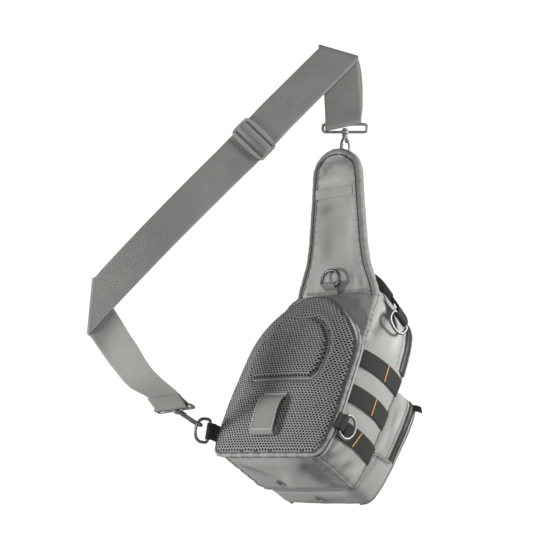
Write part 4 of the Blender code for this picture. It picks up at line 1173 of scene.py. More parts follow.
def build_yoke():
    around, levels = 72, np.concatenate([np.linspace(196, 376, 62), np.linspace(378, 394.6, 12)])
    rings = []
    for z in levels:
        row = mixed(YOKE, z)
        ring = []
        for i in range(around):
            angle = 2 * pi * i / around
            x = abs(cos(angle)) ** 0.42 * (1 if cos(angle) >= 0 else -1) * (row.half - 0.6)
            y = abs(sin(angle)) ** 0.7 * (1 if sin(angle) >= 0 else -1) * row.thickness / 2
            ring.append((YOKE_X + x, YOKE_Y + y, z))
        rings.append(ring)
    points = np.array(rings)
    front = np.clip(-(points[..., 1] - YOKE_Y) / 3.0, -1, 1)
    table = [Fold((x0, CREASE_Y, z0), (x1, CREASE_Y, z1), width, height)
             for x0, z0, x1, z1, width, height in YOKE_FOLDS]
    height = folds(points, table) + 0.45 * wave_of(points, (0.02, 0.02, 0.014), 5)
    height += 0.2 * wave_of(points, (0.07, 0.05, 0.05), 15)
    rise = np.linspace(205, 380, 40)
    inner = [(YOKE_X + (yoke_half(z) - 7) * side, YOKE_FACE, z)
             for side, run in ((1, rise), (-1, rise[::-1])) for z in run]
    foot = [(YOKE_X + x, YOKE_FACE, 204) for x in (-60, 62)]
    height += seam_valley(points, inner, 2.2, 1.0, 0.45, 9)
    height += seam_valley(points, foot, 2.0, 0.9, 0.4, 11)
    height = np.clip(height, -1.6, 1.4)
    moved = points + skin_normals(points) * height[..., None]
    # The folds and seams paint shade and highlight into the yoke's two faces.
    build = Build().tube(moved, cap=True, relief_shading=np.clip(height * np.abs(front) / 3.2, -1, 1))
    # The yoke's cloth is the body's fabric painted paler for the light on the yoke.
    piece = build.piece(
        "yoke_cover", UPRIGHT, YOKE_PAINTED_LIGHT_CLOTH, replaces=("yoke_pad",), box_cloth=True, smooth=60)

    edge = yoke_edge()
    path = np.stack([YOKE_X + (edge[:, 0] - YOKE_X) * 0.985, np.full(len(edge), YOKE_Y), edge[:, 1]], 1)
    scale = uneven(lengths(path), (0.05, 0.55), (0.04, 0.23))
    # Painted shade where the binding pinches thinner, painted highlight where it swells.
    bound = swept(Build(), path, (0, -1, 0), round_profile(2.9, 5.3, 16), scale=scale, relief_shading=scale * 3 - 3)
    bound.piece("yoke_binding", UPRIGHT, BINDING)

    inset = 5.4
    inner = []
    for x, z in edge:
        if z < 379:
            inner.append((x - np.sign(x - YOKE_X) * inset, z))
        else:
            pull = unit(np.array([YOKE_X - x, 360 - z]))
            inner.append((x + pull[0] * inset, z + pull[1] * inset))
    inner = np.array(inner)
    sewn, dark = Build(), Build()
    for face in (-1, 1):
        line = np.stack([inner[:, 0], np.full(len(inner), YOKE_Y + face * 4.6), inner[:, 1]], 1)
        stitched(sewn, line + (0, face * 0.5, 0), (0, face, 0), stitch=3.4, gap=1.3, radius=0.55)
        # A dark tube along each stitch line: painted shade in the seam's groove.
        swept(dark, line + (0, 0.1 * face, 0), (0, face, 0), round_profile(1.0, 0.55, 6))
    sewn.piece("yoke_stitches", UPRIGHT, DARK_THREAD)
    dark.piece("yoke_seam_groove_shade", UPRIGHT, DARK_BINDING_AND_GAP_SHADE)

    line = np.array([(x, YOKE_FACE - 0.55 + 0.25 * (x / 40) ** 2, 338.5 + 0.045 * (x + 10))
                     for x in np.linspace(-41, 27, 30)])
    band = swept(Build(), line, (0, -1, 0), strip_profile(13.5, 0.8, 9))
    band.piece("yoke_band", UPRIGHT, BAND_CLOTH)
    line = np.array([(x, YOKE_FACE - 0.35, 204 + 0.2 * sin(x / 6)) for x in np.linspace(-58, 58, 50)])
    seam = swept(Build(), line, (0, -1, 0), round_profile(1.6, 0.9, 8))
    seam.piece("yoke_foot_seam", UPRIGHT, BINDING)
    rows = Build()
    for z, slope, lift, end in ((207.5, 0, 0.25, 56), (331.9, 0.045, 0.95, 26), (345.1, 0.045, 0.95, 26)):
        line = np.array([(x, YOKE_FACE - lift, z + slope * (x + 10)) for x in np.linspace(-40, end, 30)])
        stitched(rows, line, (0, -1, 0), stitch=2.4, gap=1.0, radius=0.3)
    rows.piece("yoke_rows", UPRIGHT, THREAD)


SHOULDER_SEAM = [(62, 24, 246), (72, 18, 230), (80, 12, 212), (86, 10, 192), (88, 10, 174), (88, 11, 160)]


def build_shoulder_seams(tree):
    """The puckered bindings that run from the yoke's foot down to the back panel's corners."""
    welt, sewn = Build(), Build()
    for side in (1, -1):
        line = curved([(side * x, y, z) for x, y, z in SHOULDER_SEAM], 2)
        path, normals = laid(tree, line, 1.0)
        scale = uneven(lengths(path), (0.16, 0.75), (0.10, 0.31))
        # Painted shade where the binding pinches thinner, painted highlight where it swells.
        swept(welt, path, normals, round_profile(3.6, 1.9, 12), scale=scale, relief_shading=scale * 2 - 1.7)
        row, up = laid(tree, line + (side * 6.0, 2, 0), 0.3)
        stitched(sewn, row, up)
    welt.piece("shoulder_binding", BAG, BINDING)
    sewn.piece("shoulder_stitches", BAG, THREAD)


# Rings, tabs and snap hooks.

def framed(parent, origin, x_axis, z_axis):
    """A frame in its parent, with its z axis exact and its x axis squared to it."""
    z_axis = Vector(z_axis).normalized()
    x_axis = (Vector(x_axis) - Vector(x_axis).project(z_axis)).normalized()
    turn = Matrix((x_axis, z_axis.cross(x_axis), z_axis)).transposed().to_4x4()
    return parent @ Matrix.Translation(Vector(origin)) @ turn


def rod_in(build, path, matrix, profile, **more):
    """A bar along a path in a frame's own x-z plane, in the row's frame."""
    swept(build, placed(path, matrix) / MM, matrix.to_3x3() @ Y_AXIS, profile, **more)


LATHE_POINTS = 28


def lathe(build, profile, matrix, slot=0):
    """A turned solid: (radius, z) points turned about the frame's z axis, closed at both ends."""
    profile = np.asarray(profile, float)
    angles = 2 * pi * np.arange(LATHE_POINTS) / LATHE_POINTS
    points = np.stack([profile[:, None, 0] * np.cos(angles), profile[:, None, 0] * np.sin(angles),
                       np.repeat(profile[:, None, 1], LATHE_POINTS, 1)], -1)
    turned = placed(points, matrix) / MM
    build.tube(turned.reshape(points.shape), cap=True, slot=slot)


def ring_point(angle):
    half = RING_INNER / 2 + RING_WIRE
    rise = RING_REACH - half * 0.72
    return half * cos(radians(angle)), rise + half * 0.72 * sin(radians(angle))


def d_ring_points():
    half = RING_INNER / 2 + RING_WIRE
    corner = 4.0
    right = [(half - corner + corner * sin(a), corner - corner * cos(a)) for a in (0, pi / 4, pi / 2)]
    bow = [ring_point(15 * i) for i in range(13)]
    left = [(-x, z) for x, z in reversed(right)]
    middle = [(x, 0) for x in (-6, 0, 6)]
    return [(x, 0, z) for x, z in middle + right + bow + left]


def smooth_stations(stations, step):
    """(centre, half width) stations as dense arrays, through a smooth curve."""
    both = np.array([[*c, *h] for c, h in stations])
    n = len(both)
    found = []
    for i in range(n - 1):
        p0, p1, p2, p3 = (both[min(max(i + k, 0), n - 1)] for k in (-1, 0, 1, 2))
        d01, d12, d23 = (max(np.linalg.norm((b - a)[:3]) ** 0.5, 0.3)
                         for a, b in ((p0, p1), (p1, p2), (p2, p3)))
        m1 = (p2 - p1) / d12 - (p2 - p0) / (d01 + d12) + (p1 - p0) / d01 if i else (p2 - p1) / d12
        m2 = (p3 - p2) / d23 - (p3 - p1) / (d12 + d23) + (p2 - p1) / d12 if i < n - 2 else (p2 - p1) / d12
        reach = 3 * np.abs(p2 - p1)
        m1, m2 = (np.where(m * (p2 - p1) > 0, np.clip(m * d12, -reach, reach), 0) for m in (m1, m2))
        count = max(1, int(np.linalg.norm((p2 - p1)[:3]) / step))
        for t in np.arange(count) / count:
            found.append(eased(t, p1, m1, p2, m2))
    found.append(both[-1])
    found = np.array(found)
    return found[:, :3], found[:, 3:]


def web(build, stations, thickness, step, across=13):
    """Webbing through (centre, half width) stations: a strip with rounded selvedges, even in thickness."""
    centre, half = smooth_stations(stations, step)
    width = np.linalg.norm(half, axis=1)
    side = half / width[:, None]
    normal = unit(np.cross(tangents(centre), side))
    profile = strip_profile(2.0, thickness, across)
    s_of = np.clip(profile[:, 0], -1, 1)
    t = thickness / 2
    edge = 1 - t / width[:, None]
    inner = (np.abs(s_of) <= 1 - t + 1e-6)
    u = np.where(inner, s_of / (1 - t), np.sign(s_of))
    beyond = np.where(inner, 0.0, np.abs(s_of) - (1 - t)) * np.sign(s_of)
    sideways = u[None] * edge * width[:, None] + beyond[None]
    points = (centre[:, None] + side[:, None] * sideways[..., None]
              + normal[:, None] * profile[None, :, 1:])
    s = lengths(centre)
    across_mm = np.append(u, u[0])[None] * width[:, None]
    uv = np.stack(np.broadcast_arrays(across_mm, s[:, None]), -1)
    # Painted highlight: the rounded selvedges are painted paler.
    painted_shading = np.tile(np.where(np.abs(u) > 0.93, 0.28, 0.0), (len(centre), 1))
    build.tube(points, uv, cap=True, relief_shading=painted_shading)
    return build


def tab_stations(origin, bar, bow, path):
    """Doubled webbing that folds round a ring's bar and runs to its root."""
    bar = (Vector(bar) - Vector(bar).project(Vector(bow))).normalized()
    path = [Vector(origin)] + [Vector(point) for point in path]
    radius = RING_WIRE + GAP + WEBBING / 2 + 0.15
    half = bar * TAB_WIDTH / 2
    back = path[1] - path[0]
    back = (back - back.project(bar)).normalized()
    normal = bar.cross(back)
    legs = {1: [], -1: []}
    for side, leg in legs.items():
        for i in range(len(path) - 1, 0, -1):
            run = path[min(i + 1, len(path) - 1)] - path[i - 1]
            off = bar.cross(run).normalized() * (WEBBING / 2 + 0.2)
            leg.append((path[i] + off * side, half))
        leg.append((path[0] + back * radius * 1.4 + normal * (side * radius * 0.8), half))
        leg.append((path[0] + normal * (side * radius), half))
    wrap = [(path[0] - back * (radius * sin(a)) + normal * (radius * cos(a)), half)
            for a in (pi / 5, 2 * pi / 5, 3 * pi / 5, 4 * pi / 5)]
    return legs[1] + wrap + legs[-1][::-1]


def build_ring(name, parent, origin, bar, bow, tab_name, tab_path, finish, body="pack"):
    radius = RING_WIRE + 0.3
    path = curved(d_ring_points(), radius * 0.55, True)
    ring = swept(Build(), path, (0, 1, 0), round_profile(radius, count=16), closed=True)
    ring.piece(name + "_wire", framed(parent, origin, bar, bow), METAL, body, (name,))
    build = web(Build(), tab_stations(origin, bar, bow, tab_path), 1.5, 0.7, 11)
    build.piece(tab_name + "_web", parent, finish, replaces=(tab_name,))


LOOP_HALF, LOOP_TALL, LOOP_WIRE = 29.6, 10.4, 1.8
HOOK_BOTTOM, HOOK_WIRE, BIGHT, BIGHT_X = 48.0, 2.6, 5.6, 1.4
GATE_X, GATE_Z = 3.3, -12.5
SWIVEL_BOSS = [(2.4, -2.6), (4.4, -2.5), (5.2, -1.6), (5.3, 0), (5.2, 1.6), (4.4, 2.5), (2.4, 2.6)]
SWIVEL_PIN = [
    (1.9, -6.9), (3.4, -6.7), (4.0, -5.8), (4.0, -4.2), (3.4, -3.4), (1.9, -3.2), (1.9, 3.4), (3.3, 3.5),
    (3.6, 4.1), (3.3, 4.9), (2.2, 5.3),
]
CAST_RIVET = [(1.2, -3.0), (1.9, -2.9), (2.1, -2.6), (2.1, 2.6), (1.9, 2.9), (1.2, 3.0)]
GATE_RIVET = [(1.0, -2.6), (2.0, -2.5), (2.3, -2.1), (2.3, 2.1), (2.0, 2.5), (1.0, 2.6)]


def build_hook(name, parent, origin, bar, side, up, gate_body):
    corner = 3.4
    points = [(-12, 0), (0, 0), (12, 0)]
    for x, z, start in (
        (LOOP_HALF - corner, corner, -pi / 2), (LOOP_HALF - corner, LOOP_TALL - corner, 0),
        (corner - LOOP_HALF, LOOP_TALL - corner, pi / 2), (corner - LOOP_HALF, corner, pi),
    ):
        points += [(x + corner * cos(start + a), z + corner * sin(start + a)) for a in (0, pi / 4, pi / 2)]
        if start == 0:
            points += [(x, LOOP_TALL) for x in (14, 0, -14)]
    loop = framed(parent, origin, bar, up)
    body = Build()
    path = curved([(x, 0, z) for x, z in points], 1.2, True)
    rod_in(body, path, loop, round_profile(LOOP_WIRE, count=14), closed=True)
    lathe(body, SWIVEL_BOSS, loop)
    body.piece(name + "_swivel_loop", Matrix.Identity(4), METAL, replaces=(name + "_loop",))

    hook = framed(parent, origin, side, up)
    foot = BIGHT - HOOK_BOTTOM
    left, right = BIGHT_X - BIGHT, BIGHT_X + BIGHT
    spine = [(0, -5.6), (-0.4, -8), (-2.6, -11.5), (left + 0.2, -15.5), (left, -20),
             (left, (foot - 20) / 2), (left, foot)]
    bight = [(BIGHT_X - BIGHT * cos(a), foot - BIGHT * sin(a)) for a in (pi * k / 8 for k in range(1, 9))]
    path = curved([(x, 0, z) for x, z in spine + bight + [(right, foot + 5)]], 0.8)
    s = lengths(path)
    taper = np.interp(s, [0, 6, s[-1] - 4, s[-1]], [1.05, 1, 1, 0.8])
    body = Build()
    rod_in(body, path, hook, round_profile(HOOK_WIRE * 0.98, count=16), scale=taper)
    lathe(body, SWIVEL_PIN, hook)
    crosswise = Matrix.Rotation(pi / 2, 4, "X")
    lathe(body, CAST_RIVET, hook @ Matrix.Translation((GATE_X - 1.4, 0, GATE_Z + 2.6)) @ crosswise)
    body.piece(name + "_cast", Matrix.Identity(4), METAL, replaces=(name + "_body",))

    up = Vector(up).normalized()
    side = (Vector(side) - Vector(side).project(up)).normalized()
    pivot = framed(parent, Vector(origin) + side * GATE_X + up * GATE_Z, side, up)
    end_x, end_z = right - 0.8 - GATE_X, foot + 5.9 - GATE_Z
    path = curved([(0, 0, 0), (end_x - 0.2, 0, -4.5), (end_x, 0, -10), (end_x, 0, end_z)], 0.8)
    gate = Build()
    rod_in(gate, path, pivot, round_profile(1.45, count=12))
    lathe(gate, GATE_RIVET, pivot @ crosswise)
    gate.piece(name + "_gate_wire", Matrix.Identity(4), METAL, body=gate_body, replaces=(name + "_gate",))


def hook_catch(swivel, side, up):
    """The middle of a ring's wire where it lies in the hook's bight."""
    up = Vector(up).normalized()
    side = (Vector(side) - Vector(side).project(up)).normalized()
    return Vector(swivel) - up * (HOOK_BOTTOM - HOOK_WIRE - GAP - RING_WIRE) + side * BIGHT_X


# The strap, in its own frame: x to the right, y away from the wearer, z up.
Station = namedtuple("Station", "x y z across_x across_y across_z")
Share = namedtuple("Share", "left right y_left y_right", defaults=(None, None))
FOLD_RADIUS, FOLD_Z, FOLD_HALF = 4.6, -4.3, Vector((26.7, 0, -7.85))
TOP_SWIVEL = Vector((8.2, -4.7, -110.5))
TOP_BAR, TOP_UP = Vector((0.976, 0, 0.216)), Vector((-0.216, 0, 0.976))
RISE = [
    Station(6.4, -4.1, -91, 24.5, 0, 5.0),
    Station(6.4, -3.0, -80, 24.8, 0, 3.6),
    Station(4.8, 0.0, -50, 25, 0, 0.5),
    Station(2.6, 3.0, -24, 25.8, 0, -4.5),
    Station(0.8, 4.3, -11, 26.5, 0, -7.4),
]
DESCENT_LEFT = Vector((-26.7, -4.6, 3.5)), Vector((-118.6, -22, -90.9))
DESCENT_RIGHT = Vector((26.7, -4.6, -12.2)), Vector((-83.2, -22, -125.9))
SLIDER, SLIDER_PLATE = Vector((-113.9, -26, -123)), 3.0
SLIDER_ACROSS = Vector((0.72, 0, -0.694)).normalized()
SLIDER_ALONG = Vector((-SLIDER_ACROSS.z, 0, SLIDER_ACROSS.x))
RUN_LEFT = Vector((-118.6, 0, -90.9)), Vector((-321.2, 0, -312))
RUN_RIGHT = Vector((-83.2, 0, -125.9)), Vector((-327.8, 0, -386))
DESCENT = [
    Share(0.07, 0.07),
    Share(0.2, 0.25),
    Share(0.4, 0.48),
    Share(0.62, 0.685),
    Share(0.8, 0.833),
]
RUN = [
    Share(0.21, 0.18, -32, -32),
    Share(0.36, 0.31, -50, -50),
    Share(0.52, 0.44, -66, -66),
    Share(0.68, 0.57, -78, -78),
    Share(0.8, 0.69, -83, -83),
    Share(0.88, 0.79, -84.5, -84.5),
    Share(0.95, 0.9, -85, -85),
    Share(1, 1, -85, -85),
]
RETURN_LEFT = Vector((-327.8, 0, -386)), Vector((-303.5, 0, -420.5))
RETURN_RIGHT = Vector((-321.2, 0, -312)), Vector((-273.5, 0, -387))
RETURN = [
    Share(0, 0, -80.7, -80.7),
    Share(0.1, 0.26, -81, -80.5),
    Share(0.33, 0.5, -81.5, -80.5),
    Share(0.62, 0.74, -82, -84),
    Share(1, 1, -84, -97),
]
LOWER_END = [
    Station(-281.5, -97, -413.5, 18.4, -12, 12),
    Station(-258.5, -103.5, -443.5, 16.6, -15.8, 9.9),
]
LOWER_SWIVEL = Vector((-213.4, -80, -484))
LOWER_UP = Vector((-0.57, -0.72, 0.395)).normalized()
LOWER_BAR, LOWER_SIDE = Vector((0.84, -0.55, 0.10)), Vector((0.694, -0.676, -0.23))
LOWER_APPROACH = Vector((-0.48, -0.607, 0.633))
LOWER_RING_BAR, LOWER_RING_BOW = Vector((0.165, 0, 0.986)), Vector((-0.845, -0.515, 0.141))


def stations_of(rows):
    """Rows as (centre, half width) pairs."""
    return [(Vector(row[:3]), Vector(row[3:])) for row in rows]


def between_edges(left, right, shares):
    """Stations across a stretch, from shares along its left and its right edge."""
    found = []
    for share in shares:
        a, b = left[0].lerp(left[1], share.left), right[0].lerp(right[1], share.right)
        if share.y_left is not None:
            a.y, b.y = share.y_left, share.y_right
        found.append(((a + b) / 2, (b - a) / 2))
    return found


def normals_of(stations):
    found = []
    for i, (_, across) in enumerate(stations):
        run = stations[min(i + 1, len(stations) - 1)][0] - stations[max(i - 1, 0)][0]
        found.append(run.cross(across).normalized())
    return found


def shifted(stations, offsets):
    return [(centre + normal * offset, across)
            for (centre, across), normal, offset in zip(stations, normals_of(stations), offsets)]


def slider_pass(sign, half):
    """The webbing's way: behind the slider's outer bar, through its slot and over its middle bar."""
    depth = SLIDER_PLATE / 2 + GAP + half
    profile = [(23, depth), (14, depth), (11, depth - 0.1), (7, 0), (3, 0.1 - depth), (0.35, -depth)]
    across = SLIDER_ACROSS * STRAP_WIDTH / 2
    return [(SLIDER + SLIDER_ALONG * (sign * a) + Y_AXIS * d, across) for a, d in profile]


def wrap_round(centre, bar, out, side):
    """Stations half round a loop's bar, from its side over its far edge to its other side."""
    radius = LOOP_WIRE + GAP + WEBBING / 2 + 0.1
    return [(centre + side * (radius * cos(a)) - out * (radius * sin(a)), bar * STRAP_WIDTH / 2)
            for a in (pi * share for share in (0, 0.2, 0.4, 0.6, 0.8, 1))]


STRAP_MESH = (1.55, 1.4, 15)


def build_strap():
    layer = (WEBBING + 0.3) / 2
    fold = []
    for k in range(7):
        angle = pi * k / 6
        fold.append((Vector((0, FOLD_RADIUS * cos(angle), FOLD_Z + FOLD_RADIUS * sin(angle))), FOLD_HALF))
    middle = stations_of(RISE) + fold + between_edges(DESCENT_LEFT, DESCENT_RIGHT, DESCENT)
    middle += slider_pass(1, layer + WEBBING / 2)
    offsets = [2.3, 1.3] + [layer] * (len(middle) - 2)
    spread = [0.5, 1.5, 3, 3, 2.5, 1.5, 0.5] + [0] * (len(middle) - 7)
    far = [(centre + X_AXIS * out, across)
           for (centre, across), out in zip(shifted(middle, offsets), spread)]
    near = shifted(middle, [-offset for offset in offsets])
    wrap = wrap_round(TOP_SWIVEL + TOP_UP * LOOP_TALL, TOP_BAR, TOP_UP, normals_of(middle)[0])
    build = web(Build(), far[::-1] + wrap + near, *STRAP_MESH)
    build.piece("strap_upper", STRAP, STRAP_WEB, replaces=("strap_doubled",))

    run = between_edges(RUN_LEFT, RUN_RIGHT, RUN)
    back = between_edges(RETURN_LEFT, RETURN_RIGHT, RETURN)
    corner, across = run[-1]
    turn = [(corner + Vector((-2.15 * sin(a), 2.15 * (1 - cos(a)), 0)), across)
            for a in (pi / 4, pi / 2, 3 * pi / 4)]
    path = slider_pass(-1, WEBBING / 2)[::-1] + run + turn + back + stations_of(LOWER_END)
    centre = LOWER_SWIVEL + LOWER_UP * LOOP_TALL
    bar = (LOWER_BAR - LOWER_BAR.project(LOWER_UP)).normalized()
    out = (LOWER_APPROACH - LOWER_APPROACH.project(bar)).normalized()
    side = bar.cross(out)
    side = side if side.y > 0 else -side
    half = -bar * STRAP_WIDTH / 2
    half = -half if half.dot(path[-1][1]) < 0 else half
    path += [(centre + out * 24 + side * layer, half), (centre + out * 10 + side * 1.9, half)]
    path += [(place, half) for place, _ in wrap_round(centre, bar, out, side)]
    path += [(centre + out * 10 - side * 1.9, half), (centre + out * 22 - side * layer, half)]
    build = web(Build(), path, *STRAP_MESH)
    build.piece("strap_lower", STRAP, STRAP_WEB, replaces=("strap_single",))
    sewn = Build()
    for reach in (20.3, 17.4):
        base = centre + out * reach - side * (layer + 0.95 + (22 - reach) * 0.03)
        line = np.array([base + half * t for t in np.linspace(-0.94, 0.94, 30)])
        stitched(sewn, line, -side, stitch=2.2, gap=0.8, radius=0.32)
    sewn.piece("strap_end_stitches", STRAP, THREAD)


SLOT_LOW, SLOT_HIGH, SLOT_HALF = 2.2, 11.8, 25.2


def build_slider():
    """The strap's slider: a rounded plate with two slots, filled from flat curves."""
    quarter = [(28.3, 8.5), (27.5, 12.8), (23.5, 15.2), (8, 17.3)]
    half = quarter + [(-x, z) for x, z in reversed(quarter)]
    outline = [(28.3, -8.5)] + half + [(-x, -z) for x, z in half[:-1]]
    curve = bpy.data.curves.new("slider_frame", "CURVE")
    curve.dimensions = "2D"
    curve.fill_mode = "BOTH"
    curve.extrude = 0.9 * MM
    curve.bevel_depth = 0.6 * MM
    curve.bevel_resolution = 3
    edge = curved([(x, z, 0) for x, z in outline], 1.2, True)
    slots = []
    for low, high in ((SLOT_LOW, SLOT_HIGH), (-SLOT_HIGH, -SLOT_LOW)):
        corners = (-SLOT_HALF, low), (SLOT_HALF, low), (SLOT_HALF, high), (-SLOT_HALF, high)
        slots.append(np.array([(x, z, 0) for x, z in corners]))
    for shrink, loop in ((0.979, edge), (1, slots[0]), (1, slots[1])):
        spline = curve.splines.new("POLY")
        spline.points.add(len(loop) - 1)
        for control, point in zip(spline.points, loop):
            control.co = (*(Vector(point) * shrink * MM), 1)
        spline.use_cyclic_u = True
    guide = bpy.data.objects.new("slider_guide", curve)
    bpy.context.scene.collection.objects.link(guide)
    mesh = bpy.data.meshes.new_from_object(guide.evaluated_get(bpy.context.evaluated_depsgraph_get()))
    bpy.data.objects.remove(guide, do_unlink=True)
    turn = Matrix((SLIDER_ACROSS, SLIDER_ALONG, SLIDER_ACROSS.cross(SLIDER_ALONG))).transposed().to_4x4()
    place = STRAP @ Matrix.Translation(SLIDER) @ turn
    mesh.transform(Matrix.Translation(place.translation * MM) @ place.to_3x3().to_4x4())
    mesh.materials.clear()
    mesh.materials.append(PLASTIC.material)
    mesh.shade_smooth()
    mesh.set_sharp_from_angle(angle=radians(50))
    mesh.name = "slider_plate"
    show(bpy.data.objects.new("slider_plate", mesh), ("strap_slider",))


EYELET_RIM = [(3.6, 0.3), (6.3, 0.3), (6.4, -0.5), (5.8, -1.1), (4.7, -1.3), (3.9, -0.9), (3.6, -0.2)]
# A disc that fills the eyelet, painted near-black as the shade inside the bag.
EYELET_SHADE_DISC = [(0.1, 0.2), (3.7, 0.2), (3.7, -0.35), (0.1, -0.35)]


def build_hardware(tree, pocket_tree):
    for side, hand in ((1, "right"), (-1, "left")):
        path = [(side * x, y, z) for x, y, z in ((93.5, 53, 235), (85, 50, 244), (79.5, 48.5, 248.5))]
        build_ring(f"upper_ring_{hand}", BAG, (side * 96, 53, 225), (side * 0.14, 0.925, -0.355),
                   (side * 0.12, -0.34, -0.93), f"upper_tab_{hand}", path, DARK_WEB, f"upper_{hand}_d")
        stations = [(Vector((side * x, y, z)), Vector((side * a, b, c))) for x, y, z, a, b, c in (
            (49.5, 28, 272.5, 3, 2, -9.5), (60.5, 35, 266, 3.5, 2, -9.5), (77, 46, 251, 5.5, 0, -10))]
        web(Build(), stations, 1.5, 1.5).piece(
            f"shoulder_strip_{hand}", BAG, DARK_WEB, replaces=(f"shoulder_web_{hand}",))
    build_ring("lower_ring_right", BAG, (107.2, 17.5, 45), (0, 0.12, 0.993), (0.08, 0.99, -0.12),
               "lower_tab_right", [(107.2, 10.5, 44.5), (106.8, 4.5, 44)], DARK_WEB, "lower_right_d")
    build_ring("yoke_ring", UPRIGHT, (YOKE_X, 127, 214), (1, 0, 0), (0, 0.22, 0.975),
               "yoke_ring_tab", [(YOKE_X, 130, 208.5), (YOKE_X, 132, 200.4)], LOOP_WEB, "yoke_d")

    side = Matrix.Rotation(radians(16), 3, "Z") @ X_AXIS
    build_hook("top_hook", STRAP, TOP_SWIVEL, TOP_BAR, side, Z_AXIS, "top_gate")
    turn = Matrix.Rotation(radians(STRAP_TURN), 3, "Z")
    catch = turn @ hook_catch(TOP_SWIVEL, side, Z_AXIS) + Z_AXIS * STRAP_LIFT - BAG_ORIGIN
    bar = catch - Z_AXIS * RING_REACH
    path = [(bar.x, y, bar.z - drop) for y, drop in ((151.6, 12), (150.4, 22), (150.4, 34))]
    build_ring("tip_ring", UPRIGHT, bar, X_AXIS, Z_AXIS, "tip_tab", path, LOOP_WEB)

    build_hook("lower_hook", STRAP, LOWER_SWIVEL, LOWER_BAR, LOWER_SIDE, LOWER_UP, "lower_gate")
    catch = hook_catch(LOWER_SWIVEL, LOWER_SIDE, LOWER_UP)
    x, z = ring_point(60)
    bar = catch - LOWER_RING_BAR.normalized() * x - LOWER_RING_BOW.normalized() * z
    to_strap = STRAP.inverted()
    path = [to_strap @ (BAG @ Vector(point))
            for point in ((-110.6, 3, 27), (-109.6, 12, 28.5), (-102, 21, 30))]
    build_ring("lower_ring_left", STRAP, bar, LOWER_RING_BAR, LOWER_RING_BOW,
               "lower_tab_left", path, DARK_WEB)

    for name, skin, x, y in (("bottom_grommet", tree, -26, 74), ("pocket_grommet", pocket_tree, 5, 119)):
        eyelet = Build()
        foot = skin.ray_cast(Vector((x, y, -40)), Z_AXIS)[0]
        down = BAG @ Matrix.Translation((x, y, foot.z - 0.5))
        lathe(eyelet, EYELET_RIM, down)
        # The disc in the hole is painted near-black as the shade inside the bag.
        lathe(eyelet, EYELET_SHADE_DISC, down, slot=1)
        eyelet.piece(name + "_washer", Matrix.Identity(4), [METAL, EYELET_SHADE], replaces=(name,))

    stations = [(Vector(centre), Vector((0, -3.2, 3.2)))
                for centre in ((90.6, 136.2, 139.2), (96, 138.5, 140), (101.5, 141, 139))]
    tab = web(Build(), stations, 2.6, 0.8, 7)
    tab.piece("pocket_zip_end", BAG, ZIP_TAPE, replaces=("pocket_zip_tab",))


# Camera, lights and floor.

FLOOR_Z, SOFT_LIGHT, BACKDROP = -1.25, 0.06, 1.05
LAMPS_AIM = Vector((-0.02, -0.09, -0.4))
Lamp = namedtuple("Lamp", "name place size power")
LAMPS = [
    Lamp("left", (-0.50, -0.86, -0.46), 0.26, 7),
    Lamp("right", (0.74, 0.50, -0.16), 0.35, 11.5),
    Lamp("front", (1.0, -1.3, -0.1), 0.7, 9.5),
    Lamp("back", (-1.1, 1.0, 0.1), 0.9, 9),
]


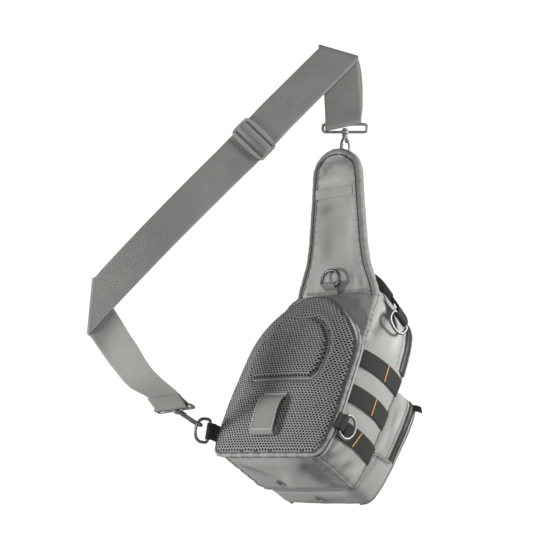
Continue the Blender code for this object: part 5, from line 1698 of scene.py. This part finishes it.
def build_stage():
    """A plain pale floor, a white backdrop and soft lamps. Their places are in metres."""
    floor = bpy.data.meshes.new("floor")
    corners = [(x, y, FLOOR_Z) for x, y in ((-0.9, -1), (0.9, -1), (0.9, 0.8), (-0.9, 0.8))]
    floor.from_pydata(corners, [], [(0, 1, 2, 3)])
    pale = Shade("pale_floor", 0.9)
    pale.colour(0.90, 0.94, pale.noise(3))
    floor.materials.append(pale.material)
    obj = bpy.data.objects.new("floor", floor)
    bpy.context.scene.collection.objects.link(obj)

    world = bpy.data.worlds.new("studio")
    bpy.context.scene.world = world
    world.use_nodes = True
    tree = world.node_tree
    soft = tree.nodes["Background"]
    soft.inputs[0].default_value = (1, 1, 1, 1)
    soft.inputs[1].default_value = SOFT_LIGHT
    white = tree.nodes.new("ShaderNodeBackground")
    white.inputs[0].default_value = (1, 1, 1, 1)
    white.inputs[1].default_value = BACKDROP
    path = tree.nodes.new("ShaderNodeLightPath")
    mix = tree.nodes.new("ShaderNodeMixShader")
    tree.links.new(path.outputs["Is Camera Ray"], mix.inputs[0])
    tree.links.new(soft.outputs[0], mix.inputs[1])
    tree.links.new(white.outputs[0], mix.inputs[2])
    tree.links.new(mix.outputs[0], tree.nodes["World Output"].inputs[0])

    for name, place, size, power in LAMPS:
        lamp = bpy.data.lights.new(name, "AREA")
        lamp.shape = "DISK"
        lamp.size = size
        lamp.energy = power
        obj = bpy.data.objects.new(name, lamp)
        obj.location = place
        obj.rotation_mode = "QUATERNION"
        obj.rotation_quaternion = (LAMPS_AIM - Vector(place)).to_track_quat("-Z", "Y")
        bpy.context.scene.collection.objects.link(obj)


CAMERA_TURN, CAMERA_TILT, CAMERA_FOCUS = 46.2, -4.1, 2000.0
CAMERA_SHIFT = (-5.2, -231.6, 2553.9)
PHOTO_SIDE, SENSOR_SIDE = 533, 36


def build_camera():
    """The camera behind the photo's view: its distance and offsets in mm, its focus in photo pixels."""
    turn, tilt = radians(CAMERA_TURN), radians(CAMERA_TILT)
    back = Vector((sin(turn) * cos(tilt), -cos(turn) * cos(tilt), sin(tilt)))
    right = Vector((cos(turn), sin(turn), 0))
    up = back.cross(right)
    x, y, distance = CAMERA_SHIFT
    place = back * distance - right * x - up * y + BAG_ORIGIN
    data = bpy.data.cameras.new("camera")
    data.sensor_width = SENSOR_SIDE
    data.lens = CAMERA_FOCUS / PHOTO_SIDE * SENSOR_SIDE
    data.clip_start, data.clip_end = 0.1, 50
    obj = bpy.data.objects.new("camera", data)
    obj.matrix_world = Matrix((right, up, back)).transposed().to_4x4()
    obj.location = place * MM
    bpy.context.scene.collection.objects.link(obj)
    bpy.context.scene.camera = obj


def main():
    body = build_body()
    pocket = build_pocket()
    tree, pocket_tree = tree_of(body), tree_of(pocket)
    side_trim(tree, pocket_tree)
    build_zip("main_zip", tree, 200, 89.5, 163, 18.5, 55, ("main_zipper",))
    build_zip("pocket_zip", pocket_tree, 110, 132.3, 56, 12.5, 50, ("pocket_zipper",))
    build_panel()
    build_belt_loop()
    build_rows(pocket_tree)
    build_yoke()
    build_shoulder_seams(tree)
    build_hardware(tree, pocket_tree)
    build_strap()
    build_slider()
    build_stage()
    build_camera()
    bpy.context.scene.view_settings.view_transform = "Standard"


main()
